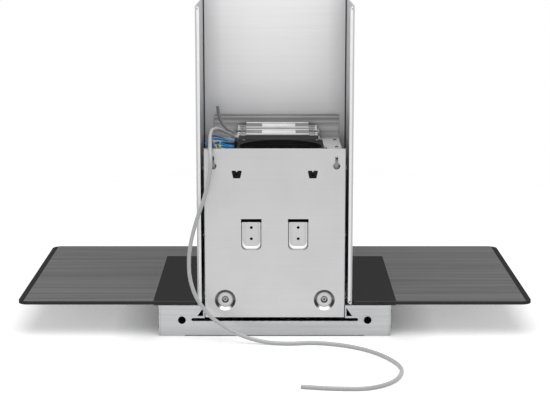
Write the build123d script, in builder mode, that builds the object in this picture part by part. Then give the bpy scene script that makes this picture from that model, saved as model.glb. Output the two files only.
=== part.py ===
from build123d import *
import math
import os

# Wall mounted range hood: a flat glass hood plate on a low steel box, a motor housing that
# stands in the glass, and a chimney cover round the housing.
# Millimetres. Z is up, the wall is the plane at WALL_Y and the hood stands in front of it (+Y).
# The origin is on the resting surface, in the middle of the hood's width and depth.

# Whole hood
HOOD_WIDTH = 900
HOOD_DEPTH = 450
HOOD_HEIGHT = 575
WALL_Y = -HOOD_DEPTH / 2

# Shared clearances and small fasteners
SLIP_GAP = 0.2
SCREW_R = 1.5
SCREW_HOLE_R = 1.6
SCREW_HEAD_R = 3.0
SCREW_HEAD_H = 1.6
EARTH_SPOT = (-92, 12)

# Lower box: folded casing
BOX_WIDTH = 406
BOX_DEPTH = 346
BOX_HEIGHT = 55
BOX_SHEET = 1.0
BOX_FLANGE = 12
BOX_CORNER_R = 3
HEM_GAP = 1.2
HEM_LENGTH = 12
HEM_START = 1.5
CUTOUT_GAP = 0.6

# Lower box: rear wall
REAR_TAB_WIDTH = 43
REAR_WALL_LIFT = 1.7
REAR_FLANGE = 13
FIXING_HOLE_R = 6.8
FIXING_HOLE_SPACING = 325
FIXING_HOLE_Z = 28.6
REAR_SLOT_WIDTH = 291.6
REAR_SLOT_BOTTOM = 26.9
REAR_SLOT_HEIGHT = 5.5
TRIANGLE_WIDTH = 10.4
TRIANGLE_HEIGHT = 14.7
TRIANGLE_BOTTOM = 35.9
TRIANGLE_GAP = 2.4
CASING_SCREW_Z = (15, 42)
CASING_SCREW_DEPTH = 8

# Underside panel with the filter mouth
PANEL_SHEET = 1.0
PANEL_SKIRT = 4
PANEL_SIDE_GAP = 3.5
PANEL_REAR_LIP = 12
PANEL_REAR_LIP_WIDTH = 380
COLLAR_HEIGHT = 12
FILTER_GAP = 1.0
FILTER_SWING_GAP = 3

# Grease filter
FILTER_WIDTH = 300
FILTER_DEPTH = 250
FILTER_HEIGHT = 9
FILTER_BORDER = 12
FILTER_START = 26
FILTER_BOTTOM = 3
MESH_T = 2.0
MESH_FROM_TOP = 1.4
MESH_EDGE = 8
MESH_COLUMNS = 19
MESH_ROWS = 15
MESH_HOLE_R = 6.0
PEG_R = 2.5
PEG_LENGTH = 3.5
PEG_SETBACK = 4
PEG_Z = 8
PEG_CLEARANCE = 0.05

# Filter latch
LATCH_WIDTH = 30
LATCH_DEPTH = 6.5
LATCH_HEIGHT = 2.6
LATCH_TRAVEL = 5
LATCH_GAP = 0.2
LATCH_SETBACK = 3
TONGUE_WIDTH = 14
TONGUE_LENGTH = 3.7
THUMB_RIDGE_DROP = 2.4

# Lamps in the underside
LAMP_SPACING = 300
LAMP_DEPTH = 311
LAMP_BODY_R = 25
LAMP_BODY_HEIGHT = 22
LAMP_CAN_HEIGHT = 13
LAMP_CAP_R = 20
LAMP_HOLE_GAP = 1.0
LAMP_BEZEL_R = 29
LAMP_BEZEL_T = 1.5
LAMP_LENS_R = 22
LAMP_LENS_RECESS = 0.5

# Control strip in the front wall
FASCIA_WIDTH = 132
FASCIA_HEIGHT = 20
FASCIA_Z = 27.5
FASCIA_T = 1.6
FASCIA_PROUD = 0.8
FASCIA_RIM = 3
FASCIA_GAP = 0.3
BUTTON_NAMES = ("button_off", "button_low", "button_medium", "button_high", "button_light")
BUTTON_R = 6
BUTTON_PITCH = 25
BUTTON_GAP = 0.15
BUTTON_PROUD = 3.2
BUTTON_TRAVEL = 2.5
BUTTON_COLLAR_R = 7.5
BUTTON_COLLAR_T = 1.2
BUTTON_STEM_R = 2
BUTTON_STEM_LENGTH = 5.2
BUTTON_EDGE_R = 0.8
SWITCH_CLEARANCE = 0.3
SWITCH_SIZE = 8
SWITCH_HEIGHT = 6
BOARD_T = 1.6
BOARD_WIDTH = 134
BOARD_HEIGHT = 18
POST_R = 2.2

# Glass hood plate and what lies under it
GLASS_T = 6
GLASS_EDGE_CHAMFER = 0.6
GLASS_CORNER_R = 18
GLASS_SETBACK = 1.6
GLASS_SLOT_GAP = 3
GLASS_SLOT_R = 4
NOTCH_DEPTH = 16
NOTCH_GAP = 2.7
UNDERPLATE_T = 1.2
UNDERPLATE_INSET = 10
PAD_WIDTH = 423
PAD_DEPTH = 356.6

# Motor housing
HOUSING_WIDTH = 242
HOUSING_DEPTH = 270
HOUSING_BOTTOM = 34
CEILING_Z = 312
WRAP_SHEET = 1.0
WRAP_FLANGE = 8
WRAP_REAR_GAP = 0.3
CEILING_LIP = 10
CEILING_LIP_SETBACK = 10
CEILING_SCREW_INSET = 9
CEILING_SCREW_DEPTHS = (151, 240)
SHEET_SCREW_LENGTH = 6

# Motor housing: back plate
PLATE_SHEET = 1.2
PLATE_TOP = 331
PLATE_FLANGE = 14
PLATE_HEM = 9
PLATE_BEND_R = 2.5
KEYHOLE_SPACING = 212.5
KEYHOLE_Z = 301.8
KEYHOLE_R = 6.1
KEYHOLE_SLOT_WIDTH = 5
KEYHOLE_SLOT_TOP = 319
KEYHOLE_CUP_DEPTH = 8
KEYHOLE_CUP_SHEET = 0.8
KEYHOLE_CUP_MARGIN = 2
HOOK_WINDOW_X = 65.5
HOOK_WINDOW_TOP_WIDTH = 18
HOOK_WINDOW_BOTTOM_WIDTH = 12
HOOK_WINDOW_BOTTOM = 280.3
HOOK_WINDOW_HEIGHT = 13.5
HOOK_WINDOW_CORNER_R = 1.5
HOOK_TONGUE = 2.2
POCKET_X = 40.6
POCKET_WIDTH = 34.7
POCKET_BOTTOM = 153.9
POCKET_TOP = 203
POCKET_R = 8.5
POCKET_DEPTH = 3
POCKET_SIDE_SLOPE = 3.35
POCKET_BOTTOM_SLOPE = 6.6
POCKET_SLOT_WIDTH = 35.6
POCKET_SLOT_HEIGHT = 6
POCKET_HOLE_R = 2.5
POCKET_HOLE_Z = (173.6, 193.4)
DIMPLE_X = 86.4
DIMPLE_Z = 65
DIMPLE_R = 18.3
DIMPLE_FLOOR_R = 13.6
DIMPLE_DEPTH = 5
DIMPLE_BOSS_R = 12.6
DIMPLE_BOSS_RISE = 0.6
DIMPLE_DISH_R = 6.4
DIMPLE_DISH_FLOOR_R = 3.2
DIMPLE_DISH_DEPTH = 1.6
DIMPLE_HOLE_R = 1.75
PLATE_SCREW_Z = (75, 180, 296)
PLATE_SCREW_DEPTH = 8
HOOK_BLOCK_WIDTH = 28
HOOK_BLOCK_HEIGHT = 30
HOOK_BLOCK_T = 10
HOOK_BLOCK_DROP = 10
HOOK_SCREW_R = 2
HOOK_SCREW_RISE = 6
HOOK_SCREW_DEPTH = 4

# Chimney cover
CHIMNEY_WIDTH = 270
CHIMNEY_DEPTH = 280
CHIMNEY_SHEET = 0.8
CHIMNEY_FLANGE = 7.4
CHIMNEY_BEND_R = 2
CHIMNEY_FLANGE_BOTTOM = 57
CHIMNEY_FOOT_DEPTH = 10
CHIMNEY_HOLE_R = 1.5
CHIMNEY_HOLE_FROM_EDGE = 4.1
CHIMNEY_HOLE_FROM_TOP = 5
CHIMNEY_HOLE_FROM_BOTTOM = 4.6
CHIMNEY_CHAMFER = 3.5

# Clamp strips that hold the glass to the housing
CLAMP_SHEET = 1.2
CLAMP_LEG = 14
CLAMP_FOOT = 12.6
CLAMP_START = 20
CLAMP_END = 262
CLAMP_SCREW_DEPTHS = (92, 137, 192)
CLAMP_SCREW_FROM_WRAP = 8.5
CLAMP_SCREW_LENGTH = 16
GLASS_HOLE_R = 2.6

# Blower outlet plate
OUTLET_X = 10
OUTLET_DEPTH = 98
OUTLET_BORE_R = 73
OUTLET_BORE_LENGTH = 8
OUTLET_SHOULDER = 2
OUTLET_WIDTH = 154
OUTLET_LENGTH = 156
OUTLET_CORNER_R = 5
SPIGOT_R = 72.8
FLAP_POCKET_R = 71
FLAP_POCKET_HEIGHT = 6
SEAT_R = 65
SEAT_T = 3
CEILING_HOLE_GAP = 0.7
OUTLET_SCREW_X = 67
OUTLET_SCREW_Y = 68
OUTLET_SCREW_LENGTH = 26
LUG_X = 77.5
LUG_DEPTH = 12
LUG_WIDTH = 20
LUG_T = 4
LUG_MARGIN = 3

# Non return flaps
FLAP_R = 70.6
FLAP_T = 1.6
FLAP_REST_GAP = 0.3
FLAP_AXIS_SPACING = 6
FLAP_KNUCKLE_R = 2
FLAP_KNUCKLE_LENGTH = 132
FLAP_PIN_R = 1.5
FLAP_PIN_CLEARANCE = 0.05

# Blower scroll, seen from its side: quarter arcs that open towards the outlet
SCROLL_WIDTH = 150
SCROLL_WALL = 2
THROAT_LENGTH = 152
FAN_DEPTH = 140
FAN_Z = 160
SCROLL_RADII = (112, 104, 96)
INLET_R = 66
INLET_LIP = 4
SCROLL_LUG_R = 5
SCROLL_LUG_T = 6
SCROLL_LUG_ANGLES = (225, 315, 20)
REAR_LUG_DROP = 56
FRONT_LUG_DROP = 30
SCREW_BOSS = 9

# Fan wheel, motor and shaft
FAN_R = 80
FAN_INNER_R = 66
FAN_WIDTH = 120
FAN_BLADES = 36
BLADE_T = 1.2
BLADE_ANGLE = 35
BLADE_CHORD_RATIO = 1.12
FAN_RING_WIDTH = 5
SHAFT_GRIP = 0.02
FAN_DISC_T = 2
FAN_RING_T = 2
HUB_R = 9
HUB_LENGTH = 24
SHAFT_R = 4
SHAFT_LENGTH = 112
SHAFT_PAST_HUB = 2
SHAFT_RUNNING_GAP = 0.05
MOTOR_R = 45
MOTOR_LENGTH = 70
MOTOR_STICK_OUT = 20
MOTOR_BOSS_R = 12
MOTOR_REAR_BOSS = 2
MOTOR_FRONT_BOSS = 5
BRACKET_T = 2
BRACKET_ARM_WIDTH = 12
BRACKET_FOOT_LENGTH = 8
BRACKET_ANGLES = (90, 210, 330)
BRACKET_RING_T = 4
BRACKET_RING_LENGTH = 12

# Run capacitor and control box on the inner walls of the housing
CAPACITOR_R = 17.5
CAPACITOR_LENGTH = 60
CAPACITOR_DEPTH = 235
CAPACITOR_BOTTOM = 60
CAPACITOR_STANDOFF = 1
CAPACITOR_CLIP_WIDTH = 14
CAPACITOR_CLIP_RISE = 20
CAPACITOR_CLIP_HEIGHT = 16
CAPACITOR_POST_R = 1.5
CAPACITOR_POST_HEIGHT = 6
CAPACITOR_POST_PITCH = 10
CONTROL_BOX_T = 24
CONTROL_BOX_LENGTH = 66
CONTROL_BOX_HEIGHT = 70
CONTROL_BOX_DEPTH = 188
CONTROL_BOX_BOTTOM = 44
CONTROL_BOX_WALL = 2

# Lamp drivers on their sloped shelf
SHELF_SHEET = 1.0
SHELF_ANGLE = 10
SHELF_START = 192.4
SHELF_Z = 314.7
SHELF_LIP_DEPTH = 187.5
SHELF_LIP_TOP = 327.5
SHELF_WIDTH = 146
SHELF_X = 7
UPSTAND_HEIGHT = 43
UPSTAND_WIDTH = 235
UPSTAND_X = 3.5
UPSTAND_RIBS = (12, 28)
UPSTAND_RIB_T = 0.6
UPSTAND_FOOT = 10
DRIVER_X = 5
DRIVER_LENGTH = 117.5
DRIVER_WIDTH = 35
DRIVER_HEIGHT = 14
DRIVER_PITCH = 41
DRIVER_BEAD = 1.5
DRIVER_BEAD_HEIGHT = 0.6
DRIVER_BEAD_SETBACK = 2
DRIVER_CORNER_R = 1.5
TERMINAL_LENGTH = 12.5
TERMINAL_WIDTH = 32
TERMINAL_HEIGHT = 9
TERMINAL_SCREW_R = 2.2
TERMINAL_WELL = 3
TERMINAL_SCREW_H = 2
TERMINAL_SLOT_WIDTH = 0.7
TERMINAL_SLOT_DEPTH = 0.6
TERMINAL_TAB_LENGTH = 7
TERMINAL_TAB_SETBACK = 4
TERMINAL_TAB_T = 3

# Wire connector and grommet on the housing ceiling
CONNECTOR_WIDTH = 5
CONNECTOR_LENGTH = 50
CONNECTOR_HEIGHT = 18
CONNECTOR_CHAMFER = 1
CONNECTOR_DEPTH = 94
GROMMET_X = -104
GROMMET_DEPTH = 50
GROMMET_R = 12
GROMMET_NECK_R = 10.5
GROMMET_T = 2

# Cords and wires: diameters, and routes as points (across, in front of the wall, up)
MAINS_DIAMETER = 6.8
LEAD_DIAMETER = 5.6
GREY_CABLE_DIAMETER = 4.4
WIRE_DIAMETER = 3.0
MAINS_EXIT = (203.5, 320.7)
LEAD_EXIT = (218, 323.3)
BOOT_BASE_R = 4.2
BOOT_END_R = 3.9
LEAD_BOOT_BASE_R = 3.8
LEAD_BOOT_END_R = 3.3

# Places that follow from the sizes above
BOX_HALF = BOX_WIDTH / 2
HEM_INNER = BOX_HALF - 2 * BOX_SHEET - HEM_GAP
UNDERPLATE_Z = BOX_HEIGHT
GLASS_Z = UNDERPLATE_Z + UNDERPLATE_T
GLASS_TOP = GLASS_Z + GLASS_T
HOUSING_HALF = HOUSING_WIDTH / 2
WRAP_START = PLATE_BEND_R + WRAP_REAR_GAP
PLATE_HALF = HOUSING_HALF + PLATE_SHEET
CUTOUT_HALF = PLATE_HALF + CUTOUT_GAP
PANEL_Z = PANEL_SKIRT
PANEL_HALF = BOX_HALF - BOX_SHEET - PANEL_SIDE_GAP
MOUTH_HALF = FILTER_WIDTH / 2 + FILTER_GAP
MOUTH_START = FILTER_START - FILTER_SWING_GAP
MOUTH_END = FILTER_START + FILTER_DEPTH + FILTER_GAP
FILTER_END = FILTER_START + FILTER_DEPTH
FILTER_TOP = FILTER_BOTTOM + FILTER_HEIGHT
LATCH_FRONT = FILTER_END - LATCH_SETBACK
MESH_Z = FILTER_TOP - MESH_FROM_TOP - MESH_T
FRONT_WALL = BOX_DEPTH - BOX_SHEET
FASCIA_FRONT = BOX_DEPTH + FASCIA_PROUD
FASCIA_REAR = FRONT_WALL - FASCIA_T
BUTTON_REAR = FASCIA_REAR - BUTTON_GAP - BUTTON_COLLAR_T - BUTTON_STEM_LENGTH
SWITCH_FACE = BUTTON_REAR - BUTTON_TRAVEL - SWITCH_CLEARANCE
BOARD_FRONT = SWITCH_FACE - SWITCH_HEIGHT
CHIMNEY_HALF = CHIMNEY_WIDTH / 2
CEILING_UNDERSIDE = CEILING_Z - WRAP_SHEET
OUTLET_SHOULDER_Z = CEILING_Z + OUTLET_SHOULDER
OUTLET_TOP = OUTLET_SHOULDER_Z + OUTLET_BORE_LENGTH
POCKET_FLOOR_Z = CEILING_Z - FLAP_POCKET_HEIGHT
FLAP_AXIS_Z = POCKET_FLOOR_Z + FLAP_REST_GAP + FLAP_KNUCKLE_R
OUTLET_SCREW_SPOTS = [
    (OUTLET_X + sx * OUTLET_SCREW_X, OUTLET_DEPTH + sy * OUTLET_SCREW_Y)
    for sx in (-1, 1)
    for sy in (-1, 1)
]
LUG_SPOT = (OUTLET_X + LUG_X, OUTLET_DEPTH + LUG_DEPTH)


def y_at(depth):
    """Y of a place this far in front of the wall."""
    return WALL_Y + depth


def wall_plane(depth):
    """Plane parallel to the wall, facing back at it."""
    return Plane(origin=(0, y_at(depth), 0), x_dir=(1, 0, 0), z_dir=(0, -1, 0))


def side_plane(x):
    """Upright plane square to the wall; its first axis is Y and its second Z."""
    return Plane.YZ.offset(x)


def block(x0, x1, depth0, depth1, z0, z1, mode=Mode.ADD):
    """Box given by its faces: across, in front of the wall, and up."""
    with Locations(((x0 + x1) / 2, y_at((depth0 + depth1) / 2), (z0 + z1) / 2)):
        Box(x1 - x0, depth1 - depth0, z1 - z0, mode=mode)


def rod_x(x0, x1, depth, z, radius, mode=Mode.ADD):
    """Round bar along X."""
    with Locations(Location(((x0 + x1) / 2, y_at(depth), z), (0, 90, 0))):
        Cylinder(radius, x1 - x0, mode=mode)


def rod_y(x, depth0, depth1, z, radius, mode=Mode.ADD):
    """Round bar square to the wall."""
    with Locations(Location((x, y_at((depth0 + depth1) / 2), z), (90, 0, 0))):
        Cylinder(radius, depth1 - depth0, mode=mode)


def rod_z(x, depth, z0, z1, radius, mode=Mode.ADD):
    """Upright round bar."""
    with Locations((x, y_at(depth), (z0 + z1) / 2)):
        Cylinder(radius, z1 - z0, mode=mode)


def finish(piece, name):
    """Label a finished piece and write it."""
    piece.label = name
    export_step(piece, f"parts/{name}.step")


def lower_casing():
    """Folded box: front, sides, top, an inward bottom flange and folded rear hems."""
    mid = (HEM_START + BOX_DEPTH) / 2
    length = BOX_DEPTH - HEM_START
    with BuildPart() as casing:
        with BuildSketch(Plane.XY) as outer:
            with Locations((0, y_at(mid))):
                Rectangle(BOX_WIDTH, length)
            fillet(outer.vertices().group_by(Axis.Y)[-1], BOX_CORNER_R)
        extrude(amount=BOX_HEIGHT)
        with BuildSketch(Plane.XY.offset(BOX_SHEET)) as inner:
            with Locations((0, y_at(mid - BOX_SHEET))):
                Rectangle(BOX_WIDTH - 2 * BOX_SHEET, length)
            fillet(inner.vertices().group_by(Axis.Y)[-1], BOX_CORNER_R - BOX_SHEET)
        extrude(amount=BOX_HEIGHT - 2 * BOX_SHEET, mode=Mode.SUBTRACT)
        inside = BOX_HALF - BOX_FLANGE
        block(-inside, inside, HEM_START - 1, BOX_DEPTH - BOX_FLANGE, -1, 2 * BOX_SHEET, Mode.SUBTRACT)
        block(
            -CUTOUT_HALF, CUTOUT_HALF, HEM_START - 1, HOUSING_DEPTH + CUTOUT_GAP,
            BOX_HEIGHT - 2 * BOX_SHEET, BOX_HEIGHT + 1, Mode.SUBTRACT,
        )
        for side in (-1, 1):
            edges = sorted((side * HEM_INNER, side * BOX_HALF))
            block(*edges, HEM_START, HEM_START + BOX_SHEET, 0, BOX_HEIGHT)
            leg = sorted((side * HEM_INNER, side * (HEM_INNER + BOX_SHEET)))
            block(*leg, HEM_START, HEM_START + HEM_LENGTH, BOX_SHEET, BOX_HEIGHT)
            for z in CASING_SCREW_Z:
                reach = sorted((side * (HEM_INNER - 1), side * (BOX_HALF + 1)))
                rod_x(*reach, CASING_SCREW_DEPTH, z, SCREW_HOLE_R, Mode.SUBTRACT)
        block(
            -FASCIA_WIDTH / 2, FASCIA_WIDTH / 2, FRONT_WALL - 1, BOX_DEPTH + 1,
            FASCIA_Z - FASCIA_HEIGHT / 2, FASCIA_Z + FASCIA_HEIGHT / 2, Mode.SUBTRACT,
        )
        for side in (-1, 1):
            for depth in CLAMP_SCREW_DEPTHS:
                x = side * (HOUSING_HALF + CLAMP_SCREW_FROM_WRAP)
                rod_z(x, depth, BOX_HEIGHT - 3, BOX_HEIGHT + 1, SCREW_HOLE_R, Mode.SUBTRACT)
    finish(casing.part, "lower_casing")


def lower_rear_wall():
    """Rear wall of the lower box: slot, triangular windows and the two wall fixing holes."""
    half = HEM_INNER
    slot_mid = REAR_SLOT_BOTTOM + REAR_SLOT_HEIGHT / 2
    slot_top = REAR_SLOT_BOTTOM + REAR_SLOT_HEIGHT
    with BuildPart() as wall:
        with BuildSketch(wall_plane(BOX_SHEET)):
            with Locations((0, BOX_HEIGHT / 2)):
                Rectangle(2 * half, BOX_HEIGHT)
            with Locations((0, REAR_WALL_LIFT / 2)):
                Rectangle(2 * (half - REAR_TAB_WIDTH), REAR_WALL_LIFT, mode=Mode.SUBTRACT)
            with Locations((0, slot_mid)):
                SlotOverall(REAR_SLOT_WIDTH, REAR_SLOT_HEIGHT, mode=Mode.SUBTRACT)
            with Locations((0, (slot_top + BOX_HEIGHT) / 2)):
                Rectangle(2 * CUTOUT_HALF, BOX_HEIGHT - slot_top + 0.01, mode=Mode.SUBTRACT)
            for side in (-1, 1):
                near = CUTOUT_HALF + TRIANGLE_GAP
                with Locations((side * FIXING_HOLE_SPACING / 2, FIXING_HOLE_Z)):
                    Circle(FIXING_HOLE_R, mode=Mode.SUBTRACT)
                Polygon(
                    (side * near, TRIANGLE_BOTTOM),
                    (side * (near + TRIANGLE_WIDTH), TRIANGLE_BOTTOM),
                    (side * near, TRIANGLE_BOTTOM + TRIANGLE_HEIGHT),
                    align=None,
                    mode=Mode.SUBTRACT,
                )
        extrude(amount=BOX_SHEET)
        for side in (-1, 1):
            flange = sorted((side * (half - BOX_SHEET), side * half))
            block(*flange, BOX_SHEET, BOX_SHEET + REAR_FLANGE, BOX_SHEET, BOX_HEIGHT - BOX_SHEET)
            for z in CASING_SCREW_Z:
                reach = sorted((side * (half - 2), side * (half + 1)))
                rod_x(*reach, CASING_SCREW_DEPTH, z, SCREW_HOLE_R, Mode.SUBTRACT)
    finish(wall.part, "lower_rear_wall")


def casing_screws():
    """Four screws through the folded side walls into the rear wall's flanges."""
    with BuildPart() as screws:
        for side in (-1, 1):
            for z in CASING_SCREW_Z:
                shank = sorted((side * (HEM_INNER - 4), side * BOX_HALF))
                head = sorted((side * BOX_HALF, side * (BOX_HALF + SCREW_HEAD_H)))
                rod_x(*shank, CASING_SCREW_DEPTH, z, SCREW_R)
                rod_x(*head, CASING_SCREW_DEPTH, z, SCREW_HEAD_R)
    finish(screws.part, "casing_screws")


def underside_panel():
    """Panel under the box, with the collared filter mouth and two lamp holes."""
    top = PANEL_Z + PANEL_SHEET
    front = FRONT_WALL
    with BuildPart() as panel:
        block(-PANEL_HALF, PANEL_HALF, BOX_SHEET, front, PANEL_Z, top)
        for side in (-1, 1):
            skirt = sorted((side * (PANEL_HALF - PANEL_SHEET), side * PANEL_HALF))
            block(*skirt, BOX_SHEET + REAR_FLANGE, front, BOX_SHEET, PANEL_Z)
        block(-PANEL_HALF, PANEL_HALF, front - PANEL_SHEET, front, BOX_SHEET, PANEL_Z)
        lip = PANEL_REAR_LIP_WIDTH / 2
        block(-lip, lip, BOX_SHEET, BOX_SHEET + PANEL_SHEET, PANEL_Z, top + PANEL_REAR_LIP)
        block(
            -MOUTH_HALF - PANEL_SHEET, MOUTH_HALF + PANEL_SHEET,
            MOUTH_START - PANEL_SHEET, MOUTH_END + PANEL_SHEET, PANEL_Z, top + COLLAR_HEIGHT,
        )
        block(
            -MOUTH_HALF, MOUTH_HALF, MOUTH_START, MOUTH_END,
            PANEL_Z - 1, top + COLLAR_HEIGHT + 1, Mode.SUBTRACT,
        )
        peg_hole = PEG_R + PEG_CLEARANCE
        across = MOUTH_HALF + PANEL_SHEET + 1
        rod_x(-across, across, FILTER_START + PEG_SETBACK, PEG_Z, peg_hole, Mode.SUBTRACT)
        for side in (-1, 1):
            hole = LAMP_BODY_R + LAMP_HOLE_GAP
            rod_z(side * LAMP_SPACING / 2, LAMP_DEPTH, PANEL_Z - 1, top + 1, hole, Mode.SUBTRACT)
    finish(panel.part, "underside_panel")


def filter_frame():
    """Frame of the grease filter: grooved rails, hinge pegs and the latch pocket."""
    half = FILTER_WIDTH / 2
    border = FILTER_BORDER
    rail = FILTER_END - border
    with BuildPart() as frame:
        block(-half, half, FILTER_START, FILTER_END, FILTER_BOTTOM, FILTER_TOP)
        block(
            -half + border, half - border, FILTER_START + border, rail,
            FILTER_BOTTOM - 1, FILTER_TOP + 1, Mode.SUBTRACT,
        )
        edge = border - MESH_EDGE
        block(
            -half + edge, half - edge, FILTER_START + edge, FILTER_END - edge,
            MESH_Z - SLIP_GAP / 2, MESH_Z + MESH_T + SLIP_GAP / 2, Mode.SUBTRACT,
        )
        for side in (-1, 1):
            reach = sorted((side * half, side * (half + PEG_LENGTH)))
            rod_x(*reach, FILTER_START + PEG_SETBACK, PEG_Z, PEG_R)
        floor = FILTER_BOTTOM + 1
        wide = LATCH_WIDTH / 2 + LATCH_GAP
        latch_rear = LATCH_FRONT - LATCH_DEPTH
        pocket_rear = min(rail - 1, latch_rear - LATCH_TRAVEL - LATCH_GAP)
        block(-wide, wide, pocket_rear, LATCH_FRONT + LATCH_GAP, floor, MESH_Z, Mode.SUBTRACT)
        narrow = TONGUE_WIDTH / 2 + LATCH_GAP
        tongue_top = floor + LATCH_HEIGHT + 2 * LATCH_GAP
        block(-narrow, narrow, latch_rear, FILTER_END + 1, floor, tongue_top, Mode.SUBTRACT)
        block(-narrow, narrow, pocket_rear, LATCH_FRONT, FILTER_BOTTOM - 1, floor, Mode.SUBTRACT)
    finish(frame.part, "filter_frame")


def filter_mesh():
    """Flat expanded aluminium net with six sided gaps."""
    edge = FILTER_BORDER - MESH_EDGE + SLIP_GAP
    width = FILTER_WIDTH - 2 * edge
    depth = FILTER_DEPTH - 2 * edge
    open_width = FILTER_WIDTH - 2 * FILTER_BORDER
    open_depth = FILTER_DEPTH - 2 * FILTER_BORDER
    with BuildPart() as mesh:
        with BuildSketch(Plane.XY.offset(MESH_Z)):
            with Locations((0, y_at(FILTER_START + FILTER_DEPTH / 2))):
                Rectangle(width, depth)
                with GridLocations(
                    open_width / MESH_COLUMNS, open_depth / MESH_ROWS, MESH_COLUMNS, MESH_ROWS
                ):
                    RegularPolygon(MESH_HOLE_R, 6, mode=Mode.SUBTRACT)
        extrude(amount=MESH_T)
    finish(mesh.part, "filter_mesh")


def filter_latch():
    """Sliding catch in the filter's front rail, with a ridge for the thumb."""
    floor = FILTER_BOTTOM + 1 + LATCH_GAP / 2
    front = LATCH_FRONT
    rear = front - LATCH_DEPTH
    ridge = TONGUE_WIDTH / 2
    with BuildPart() as latch:
        block(-LATCH_WIDTH / 2, LATCH_WIDTH / 2, rear, front, floor, floor + LATCH_HEIGHT)
        block(-ridge, ridge, front, front + TONGUE_LENGTH, floor, floor + LATCH_HEIGHT)
        block(-ridge, ridge, rear + 1, rear + 4, floor - THUMB_RIDGE_DROP, floor)
    finish(latch.part, "filter_latch")


def lamps():
    """Two recessed lamps: bezels, lenses and bodies."""
    bezel_bottom = PANEL_Z - LAMP_BEZEL_T
    lens_edge = LAMP_LENS_R + SLIP_GAP
    with BuildPart() as bezels:
        for side in (-1, 1):
            x = side * LAMP_SPACING / 2
            rod_z(x, LAMP_DEPTH, bezel_bottom, PANEL_Z, LAMP_BEZEL_R)
            rod_z(x, LAMP_DEPTH, bezel_bottom - 1, PANEL_Z + 1, lens_edge, Mode.SUBTRACT)
    finish(bezels.part, "lamp_bezels")
    with BuildPart() as lenses:
        for side in (-1, 1):
            x = side * LAMP_SPACING / 2
            rod_z(x, LAMP_DEPTH, bezel_bottom + LAMP_LENS_RECESS, PANEL_Z, LAMP_LENS_R)
    finish(lenses.part, "lamp_lenses")
    with BuildPart() as bodies:
        for side in (-1, 1):
            x = side * LAMP_SPACING / 2
            step = PANEL_Z + LAMP_CAN_HEIGHT
            rod_z(x, LAMP_DEPTH, PANEL_Z, step, LAMP_BODY_R)
            rod_z(x, LAMP_DEPTH, step, PANEL_Z + LAMP_BODY_HEIGHT, LAMP_CAP_R)
    finish(bodies.part, "lamp_bodies")


def button_fascia():
    """Black strip clipped in the front window, with five round button holes and two posts."""
    face_half = FASCIA_WIDTH / 2 - FASCIA_GAP
    face_up = FASCIA_HEIGHT / 2 - FASCIA_GAP
    rim_half = FASCIA_WIDTH / 2 + FASCIA_RIM
    rim_up = FASCIA_HEIGHT / 2 + FASCIA_RIM
    with BuildPart() as fascia:
        block(-face_half, face_half, FRONT_WALL, FASCIA_FRONT, FASCIA_Z - face_up, FASCIA_Z + face_up)
        block(-rim_half, rim_half, FASCIA_REAR, FRONT_WALL, FASCIA_Z - rim_up, FASCIA_Z + rim_up)
        for index in range(len(BUTTON_NAMES)):
            x = button_x(index)
            rod_y(x, FASCIA_REAR - 1, FASCIA_FRONT + 1, FASCIA_Z, BUTTON_R + BUTTON_GAP, Mode.SUBTRACT)
        for side in (-1, 1):
            rod_y(side * post_x(), BOARD_FRONT, FASCIA_REAR, FASCIA_Z, POST_R)
    finish(fascia.part, "button_fascia")


def button_x(index):
    """Place of a button along the strip."""
    return (index - (len(BUTTON_NAMES) - 1) / 2) * BUTTON_PITCH


def post_x():
    """Place of the posts that carry the switch board, outside the end buttons' collars."""
    return button_x(len(BUTTON_NAMES) - 1) + BUTTON_COLLAR_R + POST_R + SLIP_GAP


def buttons():
    """Five push buttons, each with a collar that keeps it in and a stem to its switch."""
    collar_front = FASCIA_REAR - BUTTON_GAP
    collar_rear = collar_front - BUTTON_COLLAR_T
    for index, name in enumerate(BUTTON_NAMES):
        x = button_x(index)
        with BuildPart() as button:
            rod_y(x, collar_front, FASCIA_FRONT + BUTTON_PROUD, FASCIA_Z, BUTTON_R)
            front = button.faces().sort_by(Axis.Y)[-1]
            fillet(front.edges(), BUTTON_EDGE_R)
            rod_y(x, collar_rear, collar_front, FASCIA_Z, BUTTON_COLLAR_R)
            rod_y(x, BUTTON_REAR, collar_rear, FASCIA_Z, BUTTON_STEM_R)
        finish(button.part, name)


def switch_board():
    """Circuit board on the fascia's posts, with one small switch behind each button."""
    half_switch = SWITCH_SIZE / 2
    half_width = BOARD_WIDTH / 2
    half_height = BOARD_HEIGHT / 2
    rear = BOARD_FRONT - BOARD_T
    with BuildPart() as board:
        block(-half_width, half_width, rear, BOARD_FRONT, FASCIA_Z - half_height, FASCIA_Z + half_height)
        for index in range(len(BUTTON_NAMES)):
            x = button_x(index)
            block(
                x - half_switch, x + half_switch, BOARD_FRONT, SWITCH_FACE - 1,
                FASCIA_Z - half_switch, FASCIA_Z + half_switch,
            )
            rod_y(x, SWITCH_FACE - 1, SWITCH_FACE, FASCIA_Z, BUTTON_STEM_R)
    finish(board.part, "switch_board")


def hood_plate_cuts(z0, z1):
    """Rear notch for the chimney and the narrower slot round the motor housing."""
    notch = CHIMNEY_HALF + NOTCH_GAP
    slot = HOUSING_HALF + GLASS_SLOT_GAP
    slot_end = HOUSING_DEPTH + GLASS_SLOT_GAP
    block(-notch, notch, 0, NOTCH_DEPTH, z0, z1, Mode.SUBTRACT)
    block(-slot, slot, 0, slot_end - GLASS_SLOT_R, z0, z1, Mode.SUBTRACT)
    block(-slot + GLASS_SLOT_R, slot - GLASS_SLOT_R, 0, slot_end, z0, z1, Mode.SUBTRACT)
    for side in (-1, 1):
        x = side * (slot - GLASS_SLOT_R)
        rod_z(x, slot_end - GLASS_SLOT_R, z0, z1, GLASS_SLOT_R, Mode.SUBTRACT)


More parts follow.
